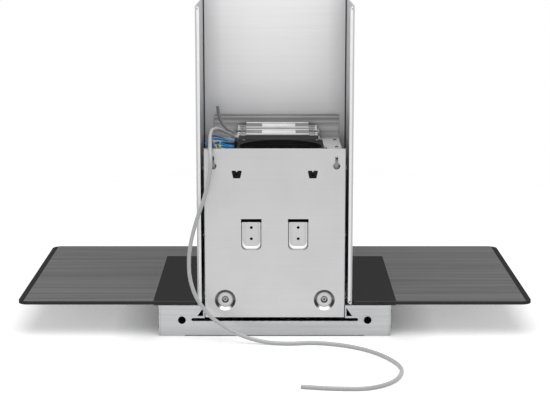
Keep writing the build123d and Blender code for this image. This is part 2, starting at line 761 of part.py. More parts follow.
def clamp_screw_holes(z0, z1, radius):
    """Holes for the screws of the clamp strips."""
    for side in (-1, 1):
        for depth in CLAMP_SCREW_DEPTHS:
            x = side * (HOUSING_HALF + CLAMP_SCREW_FROM_WRAP)
            rod_z(x, depth, z0, z1, radius, Mode.SUBTRACT)


def glass_panel():
    """Smoked glass sheet, rounded at its outer corners."""
    with BuildPart() as glass:
        with BuildSketch(Plane.XY.offset(GLASS_Z)):
            with Locations((0, y_at((GLASS_SETBACK + HOOD_DEPTH) / 2))):
                RectangleRounded(HOOD_WIDTH, HOOD_DEPTH - GLASS_SETBACK, GLASS_CORNER_R)
        extrude(amount=GLASS_T)
        top = glass.faces().sort_by(Axis.Z)[-1]
        chamfer(top.edges(), GLASS_EDGE_CHAMFER)
        hood_plate_cuts(GLASS_Z - 1, GLASS_TOP + 1)
        clamp_screw_holes(GLASS_Z - 1, GLASS_TOP + 1, GLASS_HOLE_R)
    finish(glass.part, "glass_panel")


def glass_underplate():
    """Brushed steel plate under the glass wings, cut out for the black pad."""
    inset = UNDERPLATE_INSET
    with BuildPart() as plate:
        with BuildSketch(Plane.XY.offset(UNDERPLATE_Z)):
            with Locations((0, y_at((GLASS_SETBACK + HOOD_DEPTH) / 2))):
                RectangleRounded(
                    HOOD_WIDTH - 2 * inset,
                    HOOD_DEPTH - GLASS_SETBACK - 2 * inset,
                    max(GLASS_CORNER_R - inset, 1)
                )
        extrude(amount=UNDERPLATE_T)
        half = PAD_WIDTH / 2
        block(-half, half, 0, PAD_DEPTH, UNDERPLATE_Z - 1, GLASS_Z + 1, Mode.SUBTRACT)
    finish(plate.part, "glass_underplate")


def glass_pad():
    """Black pad between the glass and the lower box."""
    half = PAD_WIDTH / 2
    with BuildPart() as pad:
        block(-half, half, GLASS_SETBACK, PAD_DEPTH, UNDERPLATE_Z, GLASS_Z)
        hood_plate_cuts(UNDERPLATE_Z - 1, GLASS_Z + 1)
        clamp_screw_holes(UNDERPLATE_Z - 1, GLASS_Z + 1, GLASS_HOLE_R)
    finish(pad.part, "glass_pad")


def glass_clamps():
    """Angle strips on the glass beside the housing, and their six screws."""
    foot_top = GLASS_TOP + CLAMP_SHEET
    with BuildPart() as strips:
        for side in (-1, 1):
            leg = sorted((side * HOUSING_HALF, side * (HOUSING_HALF + CLAMP_SHEET)))
            foot = sorted((side * HOUSING_HALF, side * (HOUSING_HALF + CLAMP_FOOT)))
            block(*leg, CLAMP_START, CLAMP_END, GLASS_TOP, GLASS_TOP + CLAMP_LEG)
            block(*foot, CLAMP_START, CLAMP_END, GLASS_TOP, foot_top)
        clamp_screw_holes(GLASS_TOP - 1, foot_top + 1, SCREW_HOLE_R)
    finish(strips.part, "glass_clamp_strips")
    with BuildPart() as screws:
        for side in (-1, 1):
            for depth in CLAMP_SCREW_DEPTHS:
                x = side * (HOUSING_HALF + CLAMP_SCREW_FROM_WRAP)
                rod_z(x, depth, foot_top - CLAMP_SCREW_LENGTH, foot_top, SCREW_R)
                rod_z(x, depth, foot_top, foot_top + SCREW_HEAD_H, SCREW_HEAD_R)
    finish(screws.part, "clamp_screws")


def pocket_face(x, depth, narrow, rise, grow):
    """U outline of a hook pocket: narrowed, raised at the bottom, or grown by the sheet."""
    width = POCKET_WIDTH - 2 * narrow + 2 * grow
    bottom = POCKET_BOTTOM + rise - grow
    with BuildSketch(wall_plane(depth)) as outline:
        with Locations((x, (bottom + POCKET_TOP) / 2)):
            Rectangle(width, POCKET_TOP - bottom)
        fillet(outline.vertices().group_by(Axis.Y)[0], POCKET_R)
    return outline.sketch


def hook_window(x):
    """Tapered window for the wall hook, with a small tongue at the top."""
    bottom = HOOK_WINDOW_BOTTOM
    top = bottom + HOOK_WINDOW_HEIGHT
    with BuildSketch() as window:
        Polygon(
            (x - HOOK_WINDOW_BOTTOM_WIDTH / 2, bottom),
            (x + HOOK_WINDOW_BOTTOM_WIDTH / 2, bottom),
            (x + HOOK_WINDOW_TOP_WIDTH / 2, top),
            (x - HOOK_WINDOW_TOP_WIDTH / 2, top),
            align=None,
        )
        fillet(window.vertices(), HOOK_WINDOW_CORNER_R)
        with Locations((x, top - HOOK_TONGUE / 2)):
            Rectangle(HOOK_TONGUE, HOOK_TONGUE + 0.01, mode=Mode.SUBTRACT)
    return window.sketch


def press_pocket(x, forward, sheet_grow, mode):
    """Sloped form of a hook pocket, as a solid that is added or cut away."""
    rim = pocket_face(x, forward, 0, 0, sheet_grow)
    floor = pocket_face(x, forward + POCKET_DEPTH, POCKET_SIDE_SLOPE, POCKET_BOTTOM_SLOPE, sheet_grow)
    loft([rim, floor], ruled=True, mode=mode)


def cone_y(x, depth0, depth1, z, radius0, radius1, mode=Mode.ADD):
    """Cone square to the wall."""
    with Locations(Location((x, y_at((depth0 + depth1) / 2), z), (-90, 0, 0))):
        Cone(radius0, radius1, depth1 - depth0, mode=mode)


def housing_back_plate():
    """Rear plate of the motor housing, with keyholes, hook windows, pockets and dimples."""
    height = PLATE_TOP - HOUSING_BOTTOM
    grow = 0.4 * PLATE_SHEET
    with BuildPart() as plate:
        with BuildSketch(Plane.XY.offset(HOUSING_BOTTOM)) as outer:
            with Locations((0, y_at(PLATE_FLANGE / 2))):
                Rectangle(2 * PLATE_HALF, PLATE_FLANGE)
            fillet(outer.vertices().group_by(Axis.Y)[0], PLATE_BEND_R)
        extrude(amount=height)
        with BuildSketch(Plane.XY.offset(HOUSING_BOTTOM)) as inner:
            with Locations((0, y_at(PLATE_SHEET + PLATE_FLANGE / 2))):
                Rectangle(2 * HOUSING_HALF, PLATE_FLANGE)
            fillet(inner.vertices().group_by(Axis.Y)[0], PLATE_BEND_R - PLATE_SHEET)
        extrude(amount=height, mode=Mode.SUBTRACT)
        hem = HOUSING_HALF - 1
        block(-hem, hem, PLATE_SHEET, PLATE_HEM, PLATE_TOP - PLATE_SHEET, PLATE_TOP)
        block(-hem, hem, PLATE_SHEET, PLATE_HEM, HOUSING_BOTTOM, HOUSING_BOTTOM + PLATE_SHEET)
        for side in (-1, 1):
            x = side * DIMPLE_X
            cone_y(
                x, PLATE_SHEET, PLATE_SHEET + DIMPLE_DEPTH, DIMPLE_Z, DIMPLE_R + grow, DIMPLE_FLOOR_R + grow
            )
            cone_y(x, 0, DIMPLE_DEPTH, DIMPLE_Z, DIMPLE_R, DIMPLE_FLOOR_R, Mode.SUBTRACT)
            boss = DIMPLE_DEPTH - DIMPLE_BOSS_RISE
            dish = boss + DIMPLE_DISH_DEPTH
            rod_y(x, boss, DIMPLE_DEPTH + PLATE_SHEET / 2, DIMPLE_Z, DIMPLE_BOSS_R)
            cone_y(
                x, boss + PLATE_SHEET, dish + PLATE_SHEET, DIMPLE_Z,
                DIMPLE_DISH_R + grow, DIMPLE_DISH_FLOOR_R + grow,
            )
            cone_y(x, boss, dish, DIMPLE_Z, DIMPLE_DISH_R, DIMPLE_DISH_FLOOR_R, Mode.SUBTRACT)
            rod_y(x, -1, 2 * DIMPLE_DEPTH, DIMPLE_Z, DIMPLE_HOLE_R, Mode.SUBTRACT)
            press_pocket(side * POCKET_X, PLATE_SHEET, grow, Mode.ADD)
            press_pocket(side * POCKET_X, 0, 0, Mode.SUBTRACT)
        with BuildSketch(wall_plane(2 * POCKET_DEPTH)):
            for side in (-1, 1):
                with Locations((side * POCKET_X, POCKET_TOP + POCKET_SLOT_HEIGHT / 2)):
                    Rectangle(POCKET_SLOT_WIDTH, POCKET_SLOT_HEIGHT)
                with Locations([(side * POCKET_X, z) for z in POCKET_HOLE_Z]):
                    Circle(POCKET_HOLE_R)
                with Locations((side * KEYHOLE_SPACING / 2, KEYHOLE_Z)):
                    Circle(KEYHOLE_R)
                slot_end = KEYHOLE_SLOT_TOP - KEYHOLE_SLOT_WIDTH / 2
                with Locations((side * KEYHOLE_SPACING / 2, (KEYHOLE_Z + slot_end) / 2)):
                    Rectangle(KEYHOLE_SLOT_WIDTH, slot_end - KEYHOLE_Z)
                with Locations((side * KEYHOLE_SPACING / 2, slot_end)):
                    Circle(KEYHOLE_SLOT_WIDTH / 2)
                add(hook_window(side * HOOK_WINDOW_X))
        extrude(amount=3 * POCKET_DEPTH, mode=Mode.SUBTRACT)
        for side in (-1, 1):
            for z in PLATE_SCREW_Z:
                reach = sorted((side * (HOUSING_HALF - 1), side * (PLATE_HALF + 1)))
                rod_x(*reach, PLATE_SCREW_DEPTH, z, SCREW_HOLE_R, Mode.SUBTRACT)
    finish(plate.part, "housing_back_plate")


def keyhole_cup_sides(side, grow):
    """Left, right, bottom and top of the cup behind a keyhole, grown by so much."""
    x = side * KEYHOLE_SPACING / 2
    reach = KEYHOLE_R + KEYHOLE_CUP_MARGIN + grow
    bottom = KEYHOLE_Z - KEYHOLE_R - KEYHOLE_CUP_MARGIN - grow
    top = KEYHOLE_SLOT_TOP + KEYHOLE_CUP_MARGIN + grow
    return x - reach, x + reach, bottom, top


def keyhole_cups():
    """Shallow sheet cups behind the keyholes, deep enough for the heads of the wall screws."""
    back = PLATE_SHEET + KEYHOLE_CUP_DEPTH
    with BuildPart() as cups:
        for side in (-1, 1):
            x0, x1, z0, z1 = keyhole_cup_sides(side, 0)
            block(x0, x1, PLATE_SHEET, back, z0, z1)
            x0, x1, z0, z1 = keyhole_cup_sides(side, -KEYHOLE_CUP_SHEET)
            block(x0, x1, 0, back - KEYHOLE_CUP_SHEET, z0, z1, Mode.SUBTRACT)
            hole_z = KEYHOLE_SLOT_TOP - KEYHOLE_SLOT_WIDTH / 2
            hole_x = side * KEYHOLE_SPACING / 2
            rod_y(hole_x, 0, back + 1, hole_z, SCREW_R, Mode.SUBTRACT)
    finish(cups.part, "keyhole_cups")


def hook_blocks():
    """Black adjusting blocks behind the two hook windows."""
    bottom = HOOK_WINDOW_BOTTOM - HOOK_BLOCK_DROP
    screw_z = HOOK_WINDOW_BOTTOM + HOOK_SCREW_RISE
    with BuildPart() as blocks:
        for side in (-1, 1):
            x = side * HOOK_WINDOW_X
            half = HOOK_BLOCK_WIDTH / 2
            block(
                x - half, x + half, PLATE_SHEET, PLATE_SHEET + HOOK_BLOCK_T,
                bottom, bottom + HOOK_BLOCK_HEIGHT,
            )
            rod_y(x, 0, PLATE_SHEET + HOOK_SCREW_DEPTH, screw_z, HOOK_SCREW_R, Mode.SUBTRACT)
    finish(blocks.part, "hook_blocks")


def housing_wrap():
    """Front and sides of the motor housing in one folded sheet."""
    half = HOUSING_HALF
    length = HOUSING_DEPTH - WRAP_START
    mid = (HOUSING_DEPTH + WRAP_START) / 2
    with BuildPart() as wrap:
        with BuildSketch(Plane.XY.offset(HOUSING_BOTTOM)) as outer:
            with Locations((0, y_at(mid))):
                Rectangle(2 * half, length)
            fillet(outer.vertices().group_by(Axis.Y)[-1], PLATE_BEND_R)
        extrude(amount=CEILING_Z - HOUSING_BOTTOM)
        with BuildSketch(Plane.XY.offset(HOUSING_BOTTOM + WRAP_SHEET)) as inner:
            with Locations((0, y_at(mid - WRAP_SHEET))):
                Rectangle(2 * (half - WRAP_SHEET), length)
            fillet(inner.vertices().group_by(Axis.Y)[-1], PLATE_BEND_R - WRAP_SHEET)
        extrude(amount=CEILING_Z - HOUSING_BOTTOM, mode=Mode.SUBTRACT)
        block(
            -half + WRAP_FLANGE, half - WRAP_FLANGE, 0, HOUSING_DEPTH - WRAP_FLANGE,
            HOUSING_BOTTOM - 1, HOUSING_BOTTOM + 2 * WRAP_SHEET, Mode.SUBTRACT,
        )
        block(-half, half, 0, PLATE_FLANGE, HOUSING_BOTTOM - 1, HOUSING_BOTTOM + 2, Mode.SUBTRACT)
        for z in PLATE_SCREW_Z:
            rod_x(-half - 1, half + 1, PLATE_SCREW_DEPTH, z, SCREW_HOLE_R, Mode.SUBTRACT)
    finish(wrap.part, "housing_wrap")


def ceiling_screw_spots():
    """Places of the screws in the housing's top, across and in front of the wall."""
    x = HOUSING_HALF - CEILING_SCREW_INSET
    return [(side * x, depth) for depth in CEILING_SCREW_DEPTHS for side in (-1, 1)]


def housing_ceiling():
    """Top plate of the motor housing, with the round outlet hole and the wire hole."""
    half = HOUSING_HALF - WRAP_SHEET
    front = HOUSING_DEPTH - WRAP_SHEET
    low = CEILING_UNDERSIDE - CEILING_LIP
    with BuildPart() as ceiling:
        block(-half, half, PLATE_SHEET, front, CEILING_UNDERSIDE, CEILING_Z)
        fillet(ceiling.edges().filter_by(Axis.Z).group_by(Axis.Y)[-1], PLATE_BEND_R)
        for side in (-1, 1):
            lip = sorted((side * (half - WRAP_SHEET), side * half))
            block(*lip, PLATE_FLANGE, front - PLATE_FLANGE, low, CEILING_Z)
        lip_half = half - CEILING_LIP_SETBACK
        block(-lip_half, lip_half, PLATE_SHEET, PLATE_SHEET + WRAP_SHEET, low, CEILING_Z)
        block(-lip_half, lip_half, front - WRAP_SHEET, front, low, CEILING_Z)
        for side in (-1, 1):
            x0, x1, z0, z1 = keyhole_cup_sides(side, SLIP_GAP)
            notch = sorted((x0, x1, side * (half + 1)))
            cup_back = PLATE_SHEET + KEYHOLE_CUP_DEPTH + SLIP_GAP
            block(notch[0], notch[-1], 0, cup_back, low - 1, CEILING_Z + 1, Mode.SUBTRACT)
        hole = SPIGOT_R + CEILING_HOLE_GAP
        rod_z(OUTLET_X, OUTLET_DEPTH, low, CEILING_Z + 1, hole, Mode.SUBTRACT)
        grommet_hole = GROMMET_NECK_R + SLIP_GAP
        rod_z(GROMMET_X, GROMMET_DEPTH, low, CEILING_Z + 1, grommet_hole, Mode.SUBTRACT)
        for x, depth in OUTLET_SCREW_SPOTS + [LUG_SPOT] + ceiling_screw_spots() + [EARTH_SPOT]:
            rod_z(x, depth, low, CEILING_Z + 1, SCREW_HOLE_R, Mode.SUBTRACT)
    finish(ceiling.part, "housing_ceiling")


def housing_screws():
    """Screws that join the housing's sheets, and its earth screw."""
    with BuildPart() as screws:
        for side in (-1, 1):
            for z in PLATE_SCREW_Z:
                shank = sorted((side * (HOUSING_HALF - SHEET_SCREW_LENGTH), side * PLATE_HALF))
                head = sorted((side * PLATE_HALF, side * (PLATE_HALF + SCREW_HEAD_H)))
                rod_x(*shank, PLATE_SCREW_DEPTH, z, SCREW_R)
                rod_x(*head, PLATE_SCREW_DEPTH, z, SCREW_HEAD_R)
        for x, depth in ceiling_screw_spots() + [EARTH_SPOT]:
            rod_z(x, depth, CEILING_UNDERSIDE - SHEET_SCREW_LENGTH, CEILING_Z, SCREW_R)
            rod_z(x, depth, CEILING_Z, CEILING_Z + SCREW_HEAD_H, SCREW_HEAD_R)
    finish(screws.part, "housing_screws")


def chimney_cover():
    """Folded cover round the housing, open to the wall between two narrow flanges."""
    half = CHIMNEY_HALF
    sheet = CHIMNEY_SHEET
    height = HOOD_HEIGHT - CHIMNEY_FLANGE_BOTTOM
    mid = CHIMNEY_DEPTH / 2
    opening = half - CHIMNEY_FLANGE
    with BuildPart() as cover:
        with BuildSketch(Plane.XY.offset(CHIMNEY_FLANGE_BOTTOM)):
            with Locations((0, y_at(mid))):
                RectangleRounded(2 * half, CHIMNEY_DEPTH, CHIMNEY_BEND_R)
                RectangleRounded(
                    2 * (half - sheet), CHIMNEY_DEPTH - 2 * sheet, CHIMNEY_BEND_R - sheet, mode=Mode.SUBTRACT
                )
            with Locations((0, y_at(sheet / 2))):
                Rectangle(2 * opening, 2 * sheet, mode=Mode.SUBTRACT)
        extrude(amount=height)
        block(
            -half - 1, half + 1, CHIMNEY_FOOT_DEPTH, CHIMNEY_DEPTH + 1,
            CHIMNEY_FLANGE_BOTTOM - 1, GLASS_TOP, Mode.SUBTRACT,
        )
        cut = CHIMNEY_CHAMFER
        with BuildSketch(wall_plane(2 * sheet)):
            for side in (-1, 1):
                for z, way in ((CHIMNEY_FLANGE_BOTTOM, 1), (HOOD_HEIGHT, -1)):
                    Polygon(
                        (side * opening, z),
                        (side * (opening + cut), z),
                        (side * opening, z + way * cut),
                        align=None,
                    )
                hole_x = side * (half - CHIMNEY_HOLE_FROM_EDGE)
                low = CHIMNEY_FLANGE_BOTTOM + CHIMNEY_HOLE_FROM_BOTTOM
                with Locations((hole_x, HOOD_HEIGHT - CHIMNEY_HOLE_FROM_TOP), (hole_x, low)):
                    Circle(CHIMNEY_HOLE_R)
        extrude(amount=3 * sheet, mode=Mode.SUBTRACT)
    finish(cover.part, "chimney_cover")


def outlet_plate():
    """Black outlet of the blower: a square plate with a round mouth, pocket and flap seat."""
    x0 = OUTLET_X - OUTLET_WIDTH / 2
    x1 = OUTLET_X + OUTLET_WIDTH / 2
    d0 = OUTLET_DEPTH - OUTLET_LENGTH / 2
    d1 = OUTLET_DEPTH + OUTLET_LENGTH / 2
    seat_bottom = POCKET_FLOOR_Z - SEAT_T
    lug_x, lug_depth = LUG_SPOT
    with BuildPart() as outlet:
        block(x0, x1, d0, d1, CEILING_Z, OUTLET_TOP)
        fillet(outlet.edges().filter_by(Axis.Z), OUTLET_CORNER_R)
        lug_end = lug_x + SCREW_HEAD_R + LUG_MARGIN
        block(
            x1 - OUTLET_CORNER_R, lug_end, lug_depth - LUG_WIDTH / 2, lug_depth + LUG_WIDTH / 2,
            CEILING_Z, CEILING_Z + LUG_T,
        )
        notch = SCREW_HEAD_R + SLIP_GAP
        block(
            lug_x - notch, x1 + 1, lug_depth - notch - 1, lug_depth + notch + 1,
            CEILING_Z + LUG_T, OUTLET_TOP + 1, Mode.SUBTRACT,
        )
        rod_z(OUTLET_X, OUTLET_DEPTH, seat_bottom, CEILING_Z, SPIGOT_R)
        rod_z(OUTLET_X, OUTLET_DEPTH, OUTLET_SHOULDER_Z, OUTLET_TOP + 1, OUTLET_BORE_R, Mode.SUBTRACT)
        rod_z(OUTLET_X, OUTLET_DEPTH, POCKET_FLOOR_Z, OUTLET_SHOULDER_Z + 1, FLAP_POCKET_R, Mode.SUBTRACT)
        rod_z(OUTLET_X, OUTLET_DEPTH, seat_bottom - 1, POCKET_FLOOR_Z + 1, SEAT_R, Mode.SUBTRACT)
        for side in (-1, 1):
            depth = OUTLET_DEPTH + side * FLAP_AXIS_SPACING / 2
            hole = FLAP_PIN_R + FLAP_PIN_CLEARANCE
            reach = SPIGOT_R + 1
            rod_x(OUTLET_X - reach, OUTLET_X + reach, depth, FLAP_AXIS_Z, hole, Mode.SUBTRACT)
        for x, depth in OUTLET_SCREW_SPOTS + [LUG_SPOT]:
            rod_z(x, depth, CEILING_Z - 1, OUTLET_TOP + 1, SCREW_HOLE_R, Mode.SUBTRACT)
    finish(outlet.part, "outlet_plate")
    with BuildPart() as screws:
        for x, depth in OUTLET_SCREW_SPOTS:
            rod_z(x, depth, OUTLET_TOP - OUTLET_SCREW_LENGTH, OUTLET_TOP, SCREW_R)
            rod_z(x, depth, OUTLET_TOP, OUTLET_TOP + SCREW_HEAD_H, SCREW_HEAD_R)
        rod_z(lug_x, lug_depth, CEILING_UNDERSIDE - SHEET_SCREW_LENGTH, CEILING_Z + LUG_T, SCREW_R)
        rod_z(lug_x, lug_depth, CEILING_Z + LUG_T, CEILING_Z + LUG_T + SCREW_HEAD_H, SCREW_HEAD_R)
    finish(screws.part, "outlet_screws")


def flaps():
    """Two half round non return flaps, hinged beside the middle of the mouth."""
    flap_z = POCKET_FLOOR_Z + FLAP_REST_GAP
    for name, side in (("flap_rear", -1), ("flap_front", 1)):
        axis = OUTLET_DEPTH + side * FLAP_AXIS_SPACING / 2
        with BuildPart() as flap:
            rod_z(OUTLET_X, OUTLET_DEPTH, flap_z, flap_z + FLAP_T, FLAP_R)
            away = sorted((axis, OUTLET_DEPTH - side * 2 * FLAP_R))
            block(
                OUTLET_X - FLAP_R - 1, OUTLET_X + FLAP_R + 1, *away,
                flap_z - 1, flap_z + FLAP_T + 1, Mode.SUBTRACT,
            )
            knuckle = FLAP_KNUCKLE_LENGTH / 2
            rod_x(OUTLET_X - knuckle, OUTLET_X + knuckle, axis, FLAP_AXIS_Z, FLAP_KNUCKLE_R)
            pin = SPIGOT_R - SLIP_GAP
            rod_x(OUTLET_X - pin, OUTLET_X + pin, axis, FLAP_AXIS_Z, FLAP_PIN_R)
        finish(flap.part, name)


def scroll_centres():
    """Centres of the scroll's three quarter arcs, which grow towards the outlet."""
    rear, bottom, front = SCROLL_RADII
    throat_rear = y_at(OUTLET_DEPTH - THROAT_LENGTH / 2)
    first = (throat_rear + rear, FAN_Z)
    second = (first[0], FAN_Z - rear + bottom)
    third = (second[0] + bottom - front, second[1])
    return first, second, third


def scroll_outline(inset, top):
    """Closed side outline of the scroll and its throat, moved inwards by a wall."""
    centres = scroll_centres()
    rear, bottom, front = [radius - inset for radius in SCROLL_RADII]
    left = y_at(OUTLET_DEPTH - THROAT_LENGTH / 2) + inset
    right = y_at(OUTLET_DEPTH + THROAT_LENGTH / 2) - inset
    sweep_angle = math.degrees(math.acos((right - centres[2][0]) / front))
    tongue = centres[2][1] + front * math.sin(math.radians(sweep_angle))
    with BuildLine() as outline:
        Line((right, top), (left, top))
        Line((left, top), (left, centres[0][1]))
        CenterArc(centres[0], rear, 180, 90)
        CenterArc(centres[1], bottom, 270, 90)
        CenterArc(centres[2], front, 0, sweep_angle)
        Line((right, tongue), (right, top))
    return outline.edges()


def scroll_lug_spots():
    """Screw lugs on the seam of the two scroll halves: three on the arcs, two on the throat."""
    centres = scroll_centres()
    out = SCROLL_LUG_R - SCROLL_WALL + SLIP_GAP
    spots = []
    for centre, radius, angle in zip(centres, SCROLL_RADII, SCROLL_LUG_ANGLES):
        turn = math.radians(angle)
        y = centre[0] + (radius + out) * math.cos(turn)
        z = centre[1] + (radius + out) * math.sin(turn)
        spots.append((y - WALL_Y, z))
    half = THROAT_LENGTH / 2 + out
    spots.append((OUTLET_DEPTH - half, CEILING_UNDERSIDE - REAR_LUG_DROP))
    spots.append((OUTLET_DEPTH + half, CEILING_UNDERSIDE - FRONT_LUG_DROP))
    return spots


def bracket_screw_spots():
    """Feet of the motor bracket round the inlet, as places in the side view."""
    radius = INLET_R + BRACKET_FOOT_LENGTH
    spots = []
    for angle in BRACKET_ANGLES:
        turn = math.radians(angle)
        spots.append((FAN_DEPTH + radius * math.cos(turn), FAN_Z + radius * math.sin(turn)))
    return spots


def scroll_halves():
    """Blower scroll in two moulded halves with an inlet in each side."""
    outer = scroll_outline(0, CEILING_UNDERSIDE)
    cavity = scroll_outline(SCROLL_WALL, CEILING_UNDERSIDE + 1)
    half_width = SCROLL_WIDTH / 2
    boss_bottom = OUTLET_TOP - OUTLET_SCREW_LENGTH - 5
    for name, side in (("scroll_left", -1), ("scroll_right", 1)):
        face = OUTLET_X + side * half_width
        x0, x1 = sorted((OUTLET_X, face))
        wall_inner = face - side * SCROLL_WALL
        c0, c1 = sorted((OUTLET_X, wall_inner))
        with BuildPart() as scroll:
            with BuildSketch(side_plane(x0)):
                make_face(outer)
            extrude(amount=x1 - x0)
            with BuildSketch(side_plane(c0)):
                make_face(cavity)
            extrude(amount=c1 - c0, mode=Mode.SUBTRACT)
            lip = sorted((face, face + side * INLET_LIP))
            rod_x(*lip, FAN_DEPTH, FAN_Z, INLET_R + SCROLL_WALL)
            bore = sorted((wall_inner - side, face + side * (INLET_LIP + 1)))
            rod_x(*bore, FAN_DEPTH, FAN_Z, INLET_R, Mode.SUBTRACT)
            lug = sorted((OUTLET_X, OUTLET_X + side * SCROLL_LUG_T))
            for depth, z in scroll_lug_spots():
                rod_x(*lug, depth, z, SCROLL_LUG_R)
                rod_x(*lug, depth, z, SCREW_HOLE_R, Mode.SUBTRACT)
            for x, depth in OUTLET_SCREW_SPOTS:
                if (x - OUTLET_X) * side > 0:
                    half = SCREW_BOSS / 2
                    b0, b1 = sorted((wall_inner, x - side * half))
                    inward = 1 if depth < OUTLET_DEPTH else -1
                    wall_depth = OUTLET_DEPTH - inward * (THROAT_LENGTH / 2 - SCROLL_WALL)
                    e0, e1 = sorted((wall_depth, depth + inward * half))
                    block(b0, b1, e0, e1, boss_bottom, CEILING_UNDERSIDE)
                    rod_z(x, depth, boss_bottom - 1, CEILING_UNDERSIDE + 1, SCREW_HOLE_R, Mode.SUBTRACT)
            if side < 0:
                for depth, z in bracket_screw_spots():
                    reach = sorted((face - 1, wall_inner + 1))
                    rod_x(*reach, depth, z, SCREW_HOLE_R, Mode.SUBTRACT)
        finish(scroll.part, name)


def scroll_screws():
    """Screws through the scroll's seam lugs and the motor bracket's feet."""
    left_face = OUTLET_X - SCROLL_WIDTH / 2
    arm_face = left_face - INLET_LIP - BRACKET_T
    with BuildPart() as screws:
        for depth, z in scroll_lug_spots():
            head = OUTLET_X - SCROLL_LUG_T
            rod_x(head, OUTLET_X + SCROLL_LUG_T, depth, z, SCREW_R)
            rod_x(head - SCREW_HEAD_H, head, depth, z, SCREW_HEAD_R)
        for depth, z in bracket_screw_spots():
            rod_x(arm_face, left_face + 2 * SCROLL_WALL, depth, z, SCREW_R)
            rod_x(arm_face - SCREW_HEAD_H, arm_face, depth, z, SCREW_HEAD_R)
    finish(screws.part, "scroll_screws")


def fan_wheel():
    """Double inlet wheel: blades between two end rings, on a middle disc with a hub."""
    x0 = OUTLET_X - FAN_WIDTH / 2
    x1 = OUTLET_X + FAN_WIDTH / 2
    centre = (y_at(FAN_DEPTH), FAN_Z)
    blade_mid = (FAN_R + FAN_INNER_R) / 2
    with BuildPart() as wheel:
        with BuildSketch(side_plane(x0)):
            with Locations(centre):
                with PolarLocations(blade_mid, FAN_BLADES):
                    Rectangle(BLADE_CHORD_RATIO * (FAN_R - FAN_INNER_R), BLADE_T, rotation=BLADE_ANGLE)
        extrude(amount=FAN_WIDTH)
        for start in (x0, x1 - FAN_RING_T):
            with BuildSketch(side_plane(start)):
                with Locations(centre):
                    Circle(FAN_R)
                    Circle(FAN_R - FAN_RING_WIDTH, mode=Mode.SUBTRACT)
            extrude(amount=FAN_RING_T)
        half_disc = FAN_DISC_T / 2
        rod_x(OUTLET_X - half_disc, OUTLET_X + half_disc, FAN_DEPTH, FAN_Z, blade_mid)
        rod_x(OUTLET_X - HUB_LENGTH / 2, OUTLET_X + HUB_LENGTH / 2, FAN_DEPTH, FAN_Z, HUB_R)
        rod_x(x0, x1, FAN_DEPTH, FAN_Z, SHAFT_R + SHAFT_GRIP, Mode.SUBTRACT)
    finish(wheel.part, "fan_wheel")


def motor():
    """Motor body, its shaft and the three armed bracket that holds it in the left inlet."""
    scroll_face = OUTLET_X - SCROLL_WIDTH / 2
    left = scroll_face - MOTOR_STICK_OUT
    right = left + MOTOR_LENGTH
    with BuildPart() as body:
        rod_x(left, right, FAN_DEPTH, FAN_Z, MOTOR_R)
        boss = (left - MOTOR_REAR_BOSS, right + MOTOR_FRONT_BOSS)
        rod_x(*boss, FAN_DEPTH, FAN_Z, MOTOR_BOSS_R)
        bore = SHAFT_R + SHAFT_RUNNING_GAP
        rod_x(boss[0] - 1, boss[1] + 1, FAN_DEPTH, FAN_Z, bore, Mode.SUBTRACT)
    finish(body.part, "motor_body")
    with BuildPart() as shaft:
        end = OUTLET_X + HUB_LENGTH / 2 + SHAFT_PAST_HUB
        rod_x(end - SHAFT_LENGTH, end, FAN_DEPTH, FAN_Z, SHAFT_R)
    finish(shaft.part, "motor_shaft")
    centre = (y_at(FAN_DEPTH), FAN_Z)
    arm_x = scroll_face - INLET_LIP - BRACKET_T
    foot_r = INLET_R + BRACKET_FOOT_LENGTH
    ring_r = MOTOR_R + SHAFT_RUNNING_GAP
    arm_start = ring_r + BRACKET_RING_T / 2
    arm_end = foot_r + BRACKET_FOOT_LENGTH / 2
    with BuildPart() as bracket:
        with BuildSketch(side_plane(arm_x)):
            with Locations(centre):
                with PolarLocations((arm_start + arm_end) / 2, 3, start_angle=90):
                    Rectangle(arm_end - arm_start, BRACKET_ARM_WIDTH)
        extrude(amount=BRACKET_T)
        with BuildSketch(side_plane(arm_x)):
            with Locations(centre):
                with PolarLocations(foot_r, 3, start_angle=90):
                    Rectangle(BRACKET_FOOT_LENGTH, BRACKET_ARM_WIDTH)
        extrude(amount=BRACKET_T + INLET_LIP)
        ring = (scroll_face - BRACKET_RING_LENGTH, scroll_face)
        rod_x(*ring, FAN_DEPTH, FAN_Z, ring_r + BRACKET_RING_T)
        rod_x(ring[0] - 1, ring[1] + 1, FAN_DEPTH, FAN_Z, ring_r, Mode.SUBTRACT)
        for depth, z in bracket_screw_spots():
            rod_x(arm_x - 1, scroll_face + 1, depth, z, SCREW_HOLE_R, Mode.SUBTRACT)
    finish(bracket.part, "motor_bracket")


def capacitor():
    """Run capacitor of the motor, clipped to the housing's left wall."""
    wall = -HOUSING_HALF + WRAP_SHEET
    x = wall + CAPACITOR_STANDOFF + CAPACITOR_R
    top = CAPACITOR_BOTTOM + CAPACITOR_LENGTH
    with BuildPart() as can:
        rod_z(x, CAPACITOR_DEPTH, CAPACITOR_BOTTOM, top, CAPACITOR_R)
        block(
            wall, x, CAPACITOR_DEPTH - CAPACITOR_CLIP_WIDTH / 2, CAPACITOR_DEPTH + CAPACITOR_CLIP_WIDTH / 2,
            CAPACITOR_BOTTOM + CAPACITOR_CLIP_RISE,
            CAPACITOR_BOTTOM + CAPACITOR_CLIP_RISE + CAPACITOR_CLIP_HEIGHT,
        )
        for side in (-1, 1):
            post_x0 = x + side * CAPACITOR_POST_PITCH / 2
            rod_z(post_x0, CAPACITOR_DEPTH, top, top + CAPACITOR_POST_HEIGHT, CAPACITOR_POST_R)
    finish(can.part, "run_capacitor")


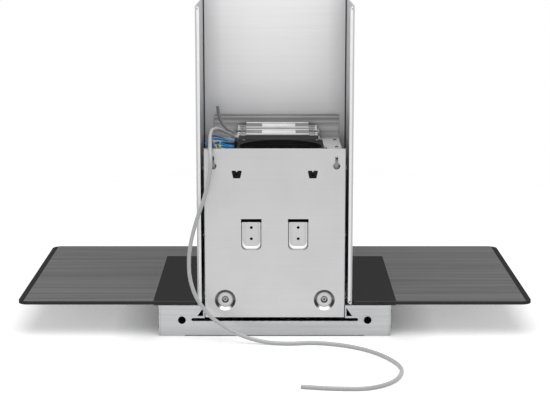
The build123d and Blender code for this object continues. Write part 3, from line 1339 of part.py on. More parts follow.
def control_box():
    """Shallow box for the speed control on the housing's right wall, and its lid."""
    outer = HOUSING_HALF - WRAP_SHEET
    inner = outer - CONTROL_BOX_T
    d0 = CONTROL_BOX_DEPTH
    d1 = d0 + CONTROL_BOX_LENGTH
    z0 = CONTROL_BOX_BOTTOM
    z1 = z0 + CONTROL_BOX_HEIGHT
    wall = CONTROL_BOX_WALL
    with BuildPart() as box:
        block(inner, outer, d0, d1, z0, z1)
        block(inner - 1, outer - wall, d0 + wall, d1 - wall, z0 + wall, z1 - wall, Mode.SUBTRACT)
    finish(box.part, "control_box")
    with BuildPart() as lid:
        block(inner - wall, inner, d0, d1, z0, z1)
        inset = wall + SLIP_GAP
        block(inner, inner + wall, d0 + inset, d1 - inset, z0 + inset, z1 - inset)
    finish(lid.part, "control_box_lid")


def shelf_z(depth):
    """Height of the sloped shelf's upper face."""
    return SHELF_Z + (depth - SHELF_START) * math.tan(math.radians(SHELF_ANGLE))


def driver_bracket():
    """Lamp driver bracket: sloped shelf with a rear lip, and a wide upstand at the front."""
    front = HOUSING_DEPTH - WRAP_SHEET
    back = front - SHELF_SHEET
    shelf_half = SHELF_WIDTH / 2
    x0 = UPSTAND_X - UPSTAND_WIDTH / 2
    x1 = UPSTAND_X + UPSTAND_WIDTH / 2
    drop = SHELF_SHEET / math.cos(math.radians(SHELF_ANGLE))
    lip_end = SHELF_LIP_DEPTH + SHELF_SHEET
    with BuildPart() as bracket:
        with BuildSketch(side_plane(SHELF_X - shelf_half)):
            Polygon(
                (y_at(SHELF_LIP_DEPTH), shelf_z(SHELF_LIP_DEPTH)),
                (y_at(SHELF_LIP_DEPTH), shelf_z(SHELF_LIP_DEPTH) - drop),
                (y_at(front), shelf_z(front) - drop),
                (y_at(front), shelf_z(front)),
                align=None,
            )
        extrude(amount=SHELF_WIDTH)
        block(SHELF_X - shelf_half, SHELF_X + shelf_half, SHELF_LIP_DEPTH, lip_end, CEILING_Z, SHELF_LIP_TOP)
        block(x0, x1, back, front, CEILING_Z, CEILING_Z + UPSTAND_HEIGHT)
        block(x0, x1, back - UPSTAND_FOOT, front, CEILING_Z, CEILING_Z + SHELF_SHEET)
        for rise in UPSTAND_RIBS:
            block(x0, x1, back - UPSTAND_RIB_T, back, CEILING_Z + rise, CEILING_Z + rise + SHELF_SHEET)
    finish(bracket.part, "driver_bracket")


def shelf_plane(height):
    """Plane on the shelf, or above it; its first axis is X and its second runs up the slope."""
    tilt = math.radians(SHELF_ANGLE)
    plane = Plane(
        origin=(DRIVER_X, y_at(SHELF_START), SHELF_Z),
        x_dir=(1, 0, 0),
        z_dir=(0, -math.sin(tilt), math.cos(tilt)),
    )
    return plane.offset(height)


def lamp_drivers():
    """Two lamp drivers lying side by side on the shelf, with a bead along each long edge."""
    for index, name in enumerate(("led_driver_rear", "led_driver_front")):
        start = index * DRIVER_PITCH
        with BuildPart() as driver:
            with BuildSketch(shelf_plane(0)):
                with Locations((0, start + DRIVER_WIDTH / 2)):
                    RectangleRounded(DRIVER_LENGTH, DRIVER_WIDTH, DRIVER_CORNER_R)
            extrude(amount=DRIVER_HEIGHT)
            with BuildSketch(shelf_plane(DRIVER_HEIGHT)):
                edge = DRIVER_BEAD / 2
                with Locations((0, start + edge), (0, start + DRIVER_WIDTH - edge)):
                    Rectangle(DRIVER_LENGTH - 2 * DRIVER_BEAD_SETBACK, DRIVER_BEAD)
            extrude(amount=DRIVER_BEAD_HEIGHT)
        finish(driver.part, name)


def terminal_centres():
    """Middles of the terminal blocks at the drivers' ends, on the shelf plane."""
    x = (DRIVER_LENGTH + TERMINAL_LENGTH) / 2
    ys = [index * DRIVER_PITCH + DRIVER_WIDTH / 2 for index in range(2)]
    return [(side * x, y) for side in (-1, 1) for y in ys]


def terminal_blocks():
    """Cream terminal blocks with two screws each; the right ones have a fixing tab."""
    spots = terminal_centres()
    screw_spots = [(x, y + way * TERMINAL_WIDTH / 4) for x, y in spots for way in (-1, 1)]
    well = TERMINAL_HEIGHT - TERMINAL_WELL
    tab_x = (TERMINAL_LENGTH + TERMINAL_TAB_LENGTH) / 2
    with BuildPart() as blocks:
        with BuildSketch(shelf_plane(0)):
            with Locations(spots):
                Rectangle(TERMINAL_LENGTH, TERMINAL_WIDTH)
        extrude(amount=TERMINAL_HEIGHT)
        with BuildSketch(shelf_plane(0)):
            with Locations([(x + tab_x, y) for x, y in spots if x > 0]):
                Rectangle(TERMINAL_TAB_LENGTH, TERMINAL_WIDTH - 2 * TERMINAL_TAB_SETBACK)
        extrude(amount=TERMINAL_TAB_T)
        with BuildSketch(shelf_plane(well)):
            with Locations(screw_spots):
                Circle(TERMINAL_SCREW_R + SLIP_GAP)
        extrude(amount=TERMINAL_HEIGHT, mode=Mode.SUBTRACT)
    finish(blocks.part, "terminal_blocks")
    with BuildPart() as screws:
        with BuildSketch(shelf_plane(well)):
            with Locations(screw_spots):
                Circle(TERMINAL_SCREW_R)
        extrude(amount=TERMINAL_SCREW_H)
        with BuildSketch(shelf_plane(well + TERMINAL_SCREW_H - TERMINAL_SLOT_DEPTH)):
            with Locations(screw_spots):
                Rectangle(2 * TERMINAL_SCREW_R + 1, TERMINAL_SLOT_WIDTH)
        extrude(amount=TERMINAL_SCREW_H, mode=Mode.SUBTRACT)
    finish(screws.part, "terminal_screws")


def wire_connector():
    """Black connector beside the outlet, and the rubber grommet that the wires go down through."""
    right = OUTLET_X - OUTLET_WIDTH / 2
    with BuildPart() as connector:
        block(
            right - CONNECTOR_WIDTH, right, CONNECTOR_DEPTH, CONNECTOR_DEPTH + CONNECTOR_LENGTH,
            CEILING_Z, CEILING_Z + CONNECTOR_HEIGHT,
        )
        top_edges = connector.edges().filter_by(Axis.Y).group_by(Axis.Z)[-1]
        chamfer(top_edges.sort_by(Axis.X)[0], CONNECTOR_CHAMFER)
    finish(connector.part, "wire_connector")
    with BuildPart() as grommet:
        rod_z(GROMMET_X, GROMMET_DEPTH, CEILING_Z, CEILING_Z + GROMMET_T, GROMMET_R)
        rod_z(GROMMET_X, GROMMET_DEPTH, CEILING_UNDERSIDE - 3, CEILING_Z, GROMMET_NECK_R)
    finish(grommet.part, "wire_grommet")


def to_world(route):
    """Turn route points (across, in front of the wall, up) into model points."""
    return [(x, y_at(depth), z) for x, depth, z in route]


def arc_radii(points):
    """Largest even arc at each corner: 0.45 of its shorter run over the tangent of half the turn."""
    radii = []
    for before, corner, after in zip(points, points[1:], points[2:]):
        run_in = Vector(*corner) - Vector(*before)
        run_out = Vector(*after) - Vector(*corner)
        half_turn = math.radians(run_in.get_angle(run_out)) / 2
        radii.append(0.45 * min(run_in.length, run_out.length) / math.tan(half_turn))
    return radii


def tube(name, points, diameter):
    """Round cord along straight runs joined by tangent arcs; prints its radii and volume share."""
    radii = arc_radii(points)
    with BuildPart() as cord:
        with BuildLine() as path:
            FilletPolyline(*points, radius=radii)
        with BuildSketch(Plane(origin=path.wire() @ 0, z_dir=path.wire() % 0)):
            Circle(diameter / 2)
        sweep()
    length = path.wire().length
    share = cord.part.volume / (math.pi * diameter**2 / 4 * length)
    smallest = min(radii) / diameter
    print(f"{name}: {length:.0f} mm, smallest radius {smallest:.1f} diameters, volume share {share:.4f}")
    print("  radii " + " ".join(f"{radius:.0f}" for radius in radii))
    return cord.part


def boot(base, base_normal, base_r, end, end_way, end_r):
    """Tapered boot from a terminal block's face to the start of a cord."""
    with BuildPart() as piece:
        with BuildSketch(Plane(origin=base, z_dir=base_normal)):
            Circle(base_r)
        with BuildSketch(Plane(origin=end, z_dir=end_way)):
            Circle(end_r)
        loft()
    return piece.part


MAINS_ROUTE = [
    (-80, 191.5, 328),
    (-90, 167, 336),
    (-98, 140, 344.5),
    (-106.5, 107, 351.5),
    (-111.5, 72, 353),
    (-112.5, 37, 350),
    (-111.5, 5, 343),
    (-109.5, -20, 324),
    (-109.1, -29, 300),
    (-117.7, -31, 257),
    (-131.4, -32, 221),
    (-143.4, -33, 179),
    (-147.9, -34, 143),
    (-145.9, -36, 107.5),
    (-132.5, -39, 72),
    (-105, -43, 40),
    (-63, -48, 15.4),
    (-21, -52, 3.4),
    (25, -62, 3.4),
    (68, -52, 3.4),
    (127, -73, 3.4),
    (172, -115, 3.4),
    (202, -175, 3.4),
    (207, -224, 3.4),
    (188, -279, 3.4),
    (148, -312, 3.4),
    (105, -312, 3.4),
    (72, -308, 3.4),
    (41, -301, 3.4),
]
LEAD_ROUTE = [
    (-78, 217, 331.5),
    (-88.5, 216.5, 335.5),
    (-98, 217, 346),
    (-104.5, 218, 362),
    (-105.6, 219, 378),
]
BLUE_ROUTES = [
    [
        (-72, 125, 326.8), (-80, 125, 326.8), (-91, 121.5, 329.5), (-101, 113, 332), (-108.5, 101, 334.3),
        (-112, 87, 335.3), (-112, 72.5, 335), (-110, 58.5, 332.5), (-107, 45, 325), (-107, 45, 314),
    ],
    [
        (-72, 119, 321), (-80, 119, 321), (-91, 116.5, 322.5), (-102, 110, 325), (-111, 99.5, 327.5),
        (-117.5, 87, 329.5), (-121, 74, 330.5), (-121, 62, 331), (-117.5, 53, 330), (-110.5, 50, 323),
        (-110.5, 50, 314),
    ],
    [
        (-72, 100, 320.5), (-80, 100, 320.5), (-88, 97, 323.5), (-93.5, 89.5, 327.5), (-95.8, 79, 331),
        (-96.5, 67.5, 332.5), (-96.4, 57.5, 330), (-96.3, 50.5, 323.5), (-96.3, 50.5, 314),
    ],
    [
        (-72, 105.5, 317), (-80, 105.5, 317), (-88.5, 103, 318.5), (-95.5, 96.5, 321.5), (-99.5, 87, 325),
        (-101, 76, 328), (-100.3, 66, 329), (-99, 57, 323.5), (-99, 57, 314),
    ],
]
GREY_ROUTE = [
    (-72, 112, 325.5), (-80, 112, 325.5), (-91, 108.5, 326.5), (-100, 100.5, 327.5), (-105.5, 89, 328.5),
    (-107.5, 77, 329), (-107, 66, 328), (-106, 57.5, 322.5), (-106, 57.5, 314),
]
VIOLET_ROUTE = [
    (-72, 138, 326.5), (-80, 138, 326.5), (-91, 135, 330), (-101.5, 127, 334.5), (-110, 114.5, 338),
    (-115, 99.5, 340), (-117, 84, 341), (-115.5, 69, 341), (-111, 55.5, 339), (-105.3, 45.8, 333),
    (-103.8, 42.3, 324.5), (-103.8, 42.3, 314),
]
EARTH_ROUTE = [
    (-99.5, 43.8, 314), (-99.5, 43.8, 323.5), (-98.5, 37.5, 331), (-96, 28, 334), (-93.2, 19, 331),
    (-92, 12, 323.5), (-92, 12, 313.6),
]


def cords():
    """Mains cord, the short cut lead above it, and the boots they come out of."""
    face_x = DRIVER_X - DRIVER_LENGTH / 2 - TERMINAL_LENGTH
    mains = to_world(MAINS_ROUTE)
    lead = to_world(LEAD_ROUTE)
    finish(tube("mains_cord", mains, MAINS_DIAMETER), "mains_cord")
    finish(tube("short_lead", lead, LEAD_DIAMETER), "short_lead")
    mains_way = Vector(*mains[1]) - Vector(*mains[0])
    lead_way = Vector(*lead[1]) - Vector(*lead[0])
    mains_base = (face_x, y_at(MAINS_EXIT[0]), MAINS_EXIT[1])
    lead_base = (face_x, y_at(LEAD_EXIT[0]), LEAD_EXIT[1])
    outwards = (-1, 0, 0)
    mains_boot = boot(mains_base, outwards, BOOT_BASE_R, mains[0], mains_way, BOOT_END_R)
    lead_boot = boot(lead_base, outwards, LEAD_BOOT_BASE_R, lead[0], lead_way, LEAD_BOOT_END_R)
    boots = Compound(children=[mains_boot, lead_boot])
    finish(boots, "cord_boots")


def wires():
    """Single wires from the connector to the grommet, and the earth wire to its screw."""
    blue = [tube("wire_blue", to_world(route), WIRE_DIAMETER) for route in BLUE_ROUTES]
    finish(Compound(children=blue), "wires_blue")
    finish(tube("cable_grey", to_world(GREY_ROUTE), GREY_CABLE_DIAMETER), "cable_grey")
    finish(tube("wire_violet", to_world(VIOLET_ROUTE), WIRE_DIAMETER), "wire_violet")
    finish(tube("wire_earth", to_world(EARTH_ROUTE), WIRE_DIAMETER), "wire_earth")


os.makedirs("parts", exist_ok=True)
lower_casing()
lower_rear_wall()
casing_screws()
underside_panel()
filter_frame()
filter_mesh()
filter_latch()
lamps()
button_fascia()
buttons()
switch_board()
glass_panel()
glass_underplate()
glass_pad()
glass_clamps()
housing_back_plate()
keyhole_cups()
hook_blocks()
housing_wrap()
housing_ceiling()
housing_screws()
chimney_cover()
outlet_plate()
flaps()
scroll_halves()
scroll_screws()
fan_wheel()
motor()
capacitor()
control_box()
driver_bracket()
lamp_drivers()
terminal_blocks()
wire_connector()
cords()
wires()
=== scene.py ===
import math

import bmesh
import bpy
from mathutils import Matrix, Vector


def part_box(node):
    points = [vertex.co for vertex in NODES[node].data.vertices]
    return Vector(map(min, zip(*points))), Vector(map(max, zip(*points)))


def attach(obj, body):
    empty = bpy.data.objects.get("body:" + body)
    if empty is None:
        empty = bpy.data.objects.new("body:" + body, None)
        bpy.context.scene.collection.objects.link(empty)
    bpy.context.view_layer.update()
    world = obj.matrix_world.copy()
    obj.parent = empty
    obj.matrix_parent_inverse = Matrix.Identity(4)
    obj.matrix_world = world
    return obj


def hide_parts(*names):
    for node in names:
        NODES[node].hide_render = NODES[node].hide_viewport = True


# Looks of the wall mounted range hood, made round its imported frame.
# Metres. The wall is behind the hood at WALL_Y, and the photographed side faces it.
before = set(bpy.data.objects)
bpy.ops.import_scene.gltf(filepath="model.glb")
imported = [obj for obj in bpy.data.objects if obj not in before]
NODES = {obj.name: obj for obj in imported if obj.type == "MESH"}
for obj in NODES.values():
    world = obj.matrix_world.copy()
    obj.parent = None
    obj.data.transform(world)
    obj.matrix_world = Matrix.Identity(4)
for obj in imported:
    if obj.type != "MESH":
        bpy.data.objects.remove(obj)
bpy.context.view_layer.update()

MM = 0.001
BLACK = (0, 0, 0, 1)
WHITE = (1, 1, 1, 1)
WALL_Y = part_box("housing_back_plate")[0].y

# Camera: on the hood's wall side and above it, with a long lens
CAMERA_PLACE = (0.0004, -2.800, 0.7287)
CAMERA_PITCH = 10.69
CAMERA_LENS = 99.5
SENSOR_WIDTH = 36
CAMERA_REACH = 60

# Light, world and floor
WORLD_FILL = 0.42
WORLD_SEEN = 1.0
TOP_LIGHT_WATTS = 46
TOP_LIGHT_SIZE = 2.8
TOP_LIGHT_PLACE = (0.0, -0.9, 2.6)
TOP_LIGHT_AIM = (0.0, 0.0, 0.2)
FLOOR_SIZE = 14
FLOOR_COLOUR = (0.96, 0.96, 0.96, 1)
FLOOR_LIFT = 0.36
FLOOR_NEAR = 0.09
FLOOR_NEAR_SHARE = 0.3
FLOOR_FADE_START = 0.75
FLOOR_FADE_END = 1.7

# Cords, with the routes of their solids: across, in front of the wall, up, in millimetres
MAINS_DIAMETER = 6.8
LEAD_DIAMETER = 5.6
MAINS_EXIT = (-66.25, 203.5, 320.7)
LEAD_EXIT = (-66.25, 218, 323.3)
MAINS_ROUTE = [
    (-80, 191.5, 328), (-90, 167, 336), (-98, 140, 344.5), (-106.5, 107, 351.5), (-111.5, 72, 353),
    (-112.5, 37, 350), (-111.5, 5, 343), (-109.5, -20, 324), (-109.1, -29, 300), (-117.7, -31, 257),
    (-131.4, -32, 221), (-143.4, -33, 179), (-147.9, -34, 143), (-145.9, -36, 107.5),
    (-132.5, -39, 72), (-105, -43, 40), (-63, -48, 15.4), (-21, -52, 3.4), (25, -62, 3.4),
    (68, -52, 3.4), (127, -73, 3.4), (172, -115, 3.4), (202, -175, 3.4), (207, -224, 3.4),
    (188, -279, 3.4), (148, -312, 3.4), (105, -312, 3.4), (72, -308, 3.4), (41, -301, 3.4),
]
LEAD_ROUTE = [
    (-78, 217, 331.5), (-88.5, 216.5, 335.5), (-98, 217, 346), (-104.5, 218, 362), (-105.6, 219, 378),
]
BOOT_REACH = 12
BOOT_KNEE = 8
BOOT_SWELL = (1.35, 1.32, 1.2, 1.08)
CURVE_STEPS = 12

# Wires from the black connector down into the grommet, placed like the cords
WIRE_RADIUS = 1.85
CABLE_RADIUS = 2.4
BLUE_ROUTES = [
    [
        (-72, 125, 326.8), (-80, 125, 326.8), (-91, 121.5, 329.5), (-101, 113, 332), (-108.5, 101, 334.3),
        (-112, 87, 335.3), (-112, 72.5, 335), (-110, 58.5, 332.5), (-107, 45, 325), (-107, 45, 314),
    ],
    [
        (-72, 119, 321), (-80, 119, 321), (-91, 116.5, 322.5), (-102, 110, 325), (-111, 99.5, 327.5),
        (-117.5, 87, 329.5), (-121, 74, 330.5), (-121, 62, 331), (-117.5, 53, 330), (-110.5, 50, 323),
        (-110.5, 50, 314),
    ],
    [
        (-72, 100, 320.5), (-80, 100, 320.5), (-88, 97, 323.5), (-93.5, 89.5, 327.5), (-95.8, 79, 331),
        (-96.5, 67.5, 332.5), (-96.4, 57.5, 330), (-96.3, 50.5, 323.5), (-96.3, 50.5, 314),
    ],
    [
        (-72, 105.5, 317), (-80, 105.5, 317), (-88.5, 103, 318.5), (-95.5, 96.5, 321.5), (-99.5, 87, 325),
        (-101, 76, 328), (-100.3, 66, 329), (-99, 57, 323.5), (-99, 57, 314),
    ],
]
GREY_ROUTE = [
    (-72, 112, 325.5), (-80, 112, 325.5), (-91, 108.5, 326.5), (-100, 100.5, 327.5), (-105.5, 89, 328.5),
    (-107.5, 77, 329), (-107, 66, 328), (-106, 57.5, 322.5), (-106, 57.5, 314),
]
VIOLET_ROUTE = [
    (-72, 138, 326.5), (-80, 138, 326.5), (-91, 135, 330), (-101.5, 127, 334.5), (-110, 114.5, 338),
    (-115, 99.5, 340), (-117, 84, 341), (-115.5, 69, 341), (-111, 55.5, 339), (-105.3, 45.8, 333),
    (-103.8, 42.3, 324.5), (-103.8, 42.3, 314),
]
EARTH_ROUTE = [
    (-99.5, 43.8, 314), (-99.5, 43.8, 323.5), (-98.5, 37.5, 331), (-96, 28, 334), (-93.2, 19, 331),
    (-92, 12, 323.5), (-92, 12, 313.6),
]

# Sloped shelf of the lamp drivers: its place, its slope and what lies on it, in millimetres
SHELF_ORIGIN = (5, 192.4, 314.7)
SHELF_SLOPE = math.radians(10)
DRIVER_LENGTH = 117.5
DRIVER_WIDTH = 35
DRIVER_PITCH = 41
DRIVER_TOP = 14
COVER_END_GAP = 0.6
COVER_SIDE_GAP = 0.3
COVER_SINK = 0.2
LABEL_SINK = 0.2
TERMINAL_LENGTH = 12.5
TERMINAL_TOP = 9
BEAD_WIDTH = 6.2
BEAD_RISE = 0.75
LABEL_LEFT = -28.7
LABEL_RIGHT = 33.4
LABEL_GAP = 2.8
LEVER_COUNT = 3
LEVER_PITCH = 9.4
LEVER_WIDTH = 5.6
LEVER_REACH = 4.4
LEVER_OVERLAP = 1.6
LEVER_DROP = 2.5
LEVER_RISE = 0.6
SLOT_WIDTH = 2.4
SLOT_RISE = 0.15
SLOT_SHORTER = 1.2
SLOT_ROUNDING = 0.1

# Dark domes shaped as rivets in the cups behind the keyholes, painted shade of small holes, in millimetres:
# off the keyhole's middle, and up
KEYHOLE_HALF = 106.25
CUP_FLOOR = 8.3
CUP_SHADE_DOTS = ((0.6, 313.2), (4.6, 300.2))
SHADE_DOT_RADIUS = 1.5
SHADE_DOT_FLATNESS = 0.4

# Range that most of a noise pattern's values lie in
NOISE_LOW = 0.3
NOISE_HIGH = 0.7

# Grains a metre of the brushed, rolled and cross grained sheets, across and along their grain,
# and how far the brushed ones leave their colour
SCRATCHES_ACROSS = 1500
SCRATCHES_ALONG = 14
BANDS_ACROSS = 230
BANDS_ALONG = 1.6
SCRATCH_DARKEN = 0.42
SCRATCH_LIGHTEN = 0.16
ROLLING_ACROSS = 420
ROLLING_ALONG = 5
STREAKS_ACROSS = 900
STREAKS_ALONG = 5
STREAK_BANDS_ACROSS = 90
STREAK_BANDS_ALONG = 1.2

# Dust on plastics: how much it lightens a pale and a black colour
DUST_GAIN = 1.25
DUST_LIFT = 0.004

# Foam cells a metre
FOAM_CELLS = 700

# Radii that the normals round the edges by
SHEET_EDGE = 0.0005
ROLLED_EDGE = 0.0006
PLASTIC_EDGE = 0.0005
METAL_EDGE = 0.0003
GLASS_EDGE = 0.0004


def spot(across, depth, up):
    """Place given across, in front of the wall and up, in millimetres, as a point in metres."""
    return Vector((across * MM, WALL_Y + depth * MM, up * MM))


def tone(red, green=None, blue=None):
    """Colour written as it looks on a screen, 0 to 255, as the linear colour that shaders use."""
    levels = (red, red if green is None else green, red if blue is None else blue)
    linear = []
    for level in levels:
        share = level / 255
        linear.append(share / 12.92 if share <= 0.04045 else ((share + 0.055) / 1.055) ** 2.4)
    return (*linear, 1.0)


def find(sockets, name):
    """Socket by its label or identifier, with its spaces written as underscores."""
    for socket in sockets:
        if name in (socket.identifier.replace(" ", "_"), socket.name.replace(" ", "_")):
            return socket
    raise KeyError(name)


class Value:
    """A number, colour or vector on its way through a material."""

    def __init__(self, finish, node, name=None):
        self.finish = finish
        self.node = node
        self.socket = find(node.outputs, name) if name else node.outputs[0]

    def out(self, name):
        return Value(self.finish, self.node, name)

    def maths(self, operation, first, second=0.0):
        settings = {"operation": operation}
        return self.finish.node("ShaderNodeMath", settings, Value=first, Value_001=second)

    def __add__(self, other):
        return self.maths("ADD", self, other)

    def __radd__(self, other):
        return self.maths("ADD", other, self)

    def __sub__(self, other):
        return self.maths("SUBTRACT", self, other)

    def __rsub__(self, other):
        return self.maths("SUBTRACT", other, self)

    def __mul__(self, other):
        return self.maths("MULTIPLY", self, other)

    def __rmul__(self, other):
        return self.maths("MULTIPLY", other, self)

    def __gt__(self, other):
        return self.maths("GREATER_THAN", self, other)

    def __lt__(self, other):
        return self.maths("LESS_THAN", self, other)

    def __abs__(self):
        return self.maths("ABSOLUTE", self)


class Finish:
    """One material: the nodes that make its pattern, and the shader that they feed."""

    def __init__(self, name):
        self.material = bpy.data.materials.new(name)
        self.material.use_nodes = True
        self.tree = self.material.node_tree
        self.tree.nodes.clear()
        self.end = self.tree.nodes.new("ShaderNodeOutputMaterial")

    def feed(self, socket, value):
        if isinstance(value, Value):
            self.tree.links.new(value.socket, socket)
        else:
            socket.default_value = value

    def node(self, kind, settings=None, **inputs):
        node = self.tree.nodes.new(kind)
        for name, value in (settings or {}).items():
            setattr(node, name, value)
        for name, value in inputs.items():
            self.feed(find(node.inputs, name), value)
        return Value(self, node)

    def place(self, scale=(1, 1, 1)):
        """Object coordinates, stretched by a scale."""
        coordinates = self.node("ShaderNodeTexCoord").out("Object")
        return self.node("ShaderNodeMapping", Vector=coordinates, Scale=scale)

    def axes(self):
        """The three object coordinates, each as a number in metres."""
        split = self.node("ShaderNodeSeparateXYZ", Vector=self.place())
        return split.out("X"), split.out("Y"), split.out("Z")

    def noise(self, scale, detail=2.0):
        """Noise from about 0 to 1, at so many grains a metre along each axis."""
        return self.node("ShaderNodeTexNoise", Vector=self.place(scale), Scale=1.0, Detail=detail)

    def span(self, value, low, high, new_low=0.0, new_high=1.0):
        """A value's range moved onto another range, and held inside it."""
        return self.node(
            "ShaderNodeMapRange", {"clamp": True},
            Value=value, From_Min=low, From_Max=high, To_Min=new_low, To_Max=new_high,
        )

    def mix(self, share, first, second):
        """Colour between two colours."""
        made = self.node(
            "ShaderNodeMix", {"data_type": "RGBA"}, Factor_Float=share, A_Color=first, B_Color=second
        )
        return made.out("Result_Color")

    def rounded(self, radius):
        """Normal that rounds sharp edges over a small radius."""
        return self.node("ShaderNodeBevel", {"samples": 4}, Radius=radius).out("Normal")

    def nearness(self, reach):
        """From 0 deep in a corner or groove to 1 on open faces, within a reach in metres."""
        node = self.node("ShaderNodeAmbientOcclusion", {"samples": 8}, Distance=reach)
        return node.out("AO")

    def bump(self, height, distance, strength, normal=None):
        """Normal with a relief of so many metres."""
        inputs = {"Height": height, "Distance": distance, "Strength": strength}
        if normal is not None:
            inputs["Normal"] = normal
        return self.node("ShaderNodeBump", **inputs)

    def principled(self, **inputs):
        """The shader itself, joined to the material's output."""
        shader = self.node("ShaderNodeBsdfPrincipled", **inputs)
        self.tree.links.new(shader.socket, self.end.inputs["Surface"])
        return self.material

    def blend(self, share, first, second):
        """Two shaders mixed by a share, joined to the material's output."""
        mixed = self.node("ShaderNodeMixShader", Fac=share, Shader=first, Shader_001=second)
        self.tree.links.new(mixed.socket, self.end.inputs["Surface"])
        return self.material


def scaled(colour, factor):
    """A colour made darker or lighter."""
    return tuple(min(1.0, level * factor) for level in colour[:3]) + (1.0,)


def brushed_steel(name, colour, along, contrast, hollow_shade_factor=0.55):
    """Brushed stainless sheet with painted shade in its corners and grooves; along is the axis that its
    scratches run on.
    """
    finish = Finish(name)
    fine = [SCRATCHES_ACROSS] * 3
    fine[along] = SCRATCHES_ALONG
    coarse = [BANDS_ACROSS] * 3
    coarse[along] = BANDS_ALONG
    scratches = finish.noise(fine, detail=1.5)
    bands = finish.noise(coarse, detail=2.5)
    smudges = finish.noise((7, 7, 7), detail=3.0)
    grain = scratches * 0.45 + bands * 0.55
    dark = scaled(colour, 1 - SCRATCH_DARKEN * contrast)
    light = scaled(colour, 1 + SCRATCH_LIGHTEN * contrast)
    brushed = finish.mix(finish.span(grain, 0.32, 0.68), dark, light)
    # Painted shade: the colour darkens in corners and grooves, by ambient occlusion
    open_share = finish.span(finish.nearness(reach=0.03), 0.15, 0.85)
    return finish.principled(
        Base_Color=finish.mix(open_share, scaled(colour, hollow_shade_factor), brushed),
        Metallic=0.8,
        Roughness=finish.span(grain * 0.6 + smudges * 0.4, NOISE_LOW, NOISE_HIGH, 0.27, 0.41),
        Normal=finish.bump(scratches, distance=0.00002, strength=0.6, normal=finish.rounded(SHEET_EDGE)),
    )


def cross_grained_steel():
    """Chimney sheet: grain across, plain steel outside; inside, painted light far lighter than the outside,
    with painted shade lower down, towards the corners, on the cheeks and as dark lines in the folds.
    """
    finish = Finish("chimney_steel")
    low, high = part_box("chimney_cover")
    x, y, z = finish.axes()
    grain = finish.noise((STREAKS_ALONG, STREAKS_ALONG, STREAKS_ACROSS), detail=2.0)
    bands = finish.noise((STREAK_BANDS_ALONG, STREAK_BANDS_ALONG, STREAK_BANDS_ACROSS), detail=2.0)
    streaks = grain * 0.5 + bands * 0.5
    light_share = finish.span(streaks, NOISE_LOW, NOISE_HIGH)
    # Painted light: the inside tones are far lighter than the same sheet's outside tones
    sheet = finish.mix(light_share, CHIMNEY_DARK, CHIMNEY_LIGHT)
    # Painted shade: darker lower down
    rise = finish.span(z, CHIMNEY_FALL_LOW, CHIMNEY_FALL_HIGH)
    sheet = finish.mix(rise, finish.mix(0.5, sheet, CHIMNEY_FOOT_SHADE), sheet)
    # Painted shade inside: darker towards the front corners and on the cheeks, and a dark line in the folds
    inside = (abs(x) < high.x - CHIMNEY_SKIN) * (y < high.y - CHIMNEY_SKIN)
    front = y > high.y - CHIMNEY_CORNER
    edge = finish.span(abs(x), high.x - CHIMNEY_CORNER_FALL, high.x)
    sheet = finish.mix(inside * front * edge, sheet, CHIMNEY_CORNER_SHADE)
    cheek = inside * (abs(x) > high.x - CHIMNEY_CORNER)
    sheet = finish.mix(cheek * (1.0 - front), sheet, CHIMNEY_CHEEK_SHADE)
    fold_shade = cheek * (y > high.y - CHIMNEY_FOLD)
    outside = (1.0 - inside) * (y > low.y + CHIMNEY_FLANGE)
    sheet = finish.mix(outside, sheet, finish.mix(light_share, CHIMNEY_OUTER_DARK, CHIMNEY_OUTER_LIGHT))
    return finish.principled(
        Base_Color=finish.mix(fold_shade, sheet, CHIMNEY_FOLD_SHADE),
        Metallic=0.75,
        Roughness=finish.span(streaks, NOISE_LOW, NOISE_HIGH, 0.3, 0.42),
        Normal=finish.bump(grain, distance=0.00002, strength=0.5, normal=finish.rounded(SHEET_EDGE)),
    )


def rolled_steel(name, colour, roughness=0.42, along=0, hollow_shade_factor=0.4):
    """Plain zinc coated sheet with faint rolling lines and cloudy patches, and painted shade in its
    hollows.
    """
    return rolled_shader(
        Finish(name), colour, roughness=roughness, metallic=0.7, reach=0.012,
        hollow_shade=scaled(colour, hollow_shade_factor), along=along,
    )


def stepped_ramp(finish, share, levels):
    """Grey that changes along a share: pairs of a place and a level, the first at 0, the last at 1."""
    ramp = finish.node("ShaderNodeValToRGB", Fac=share)
    stops = ramp.node.color_ramp.elements
    for stop, (place, level) in zip(stops, (levels[0], levels[-1])):
        stop.position, stop.color = place, tone(level)
    for place, level in levels[1:-1]:
        stop = stops.new(place)
        stop.color = tone(level)
    return ramp.out("Color")


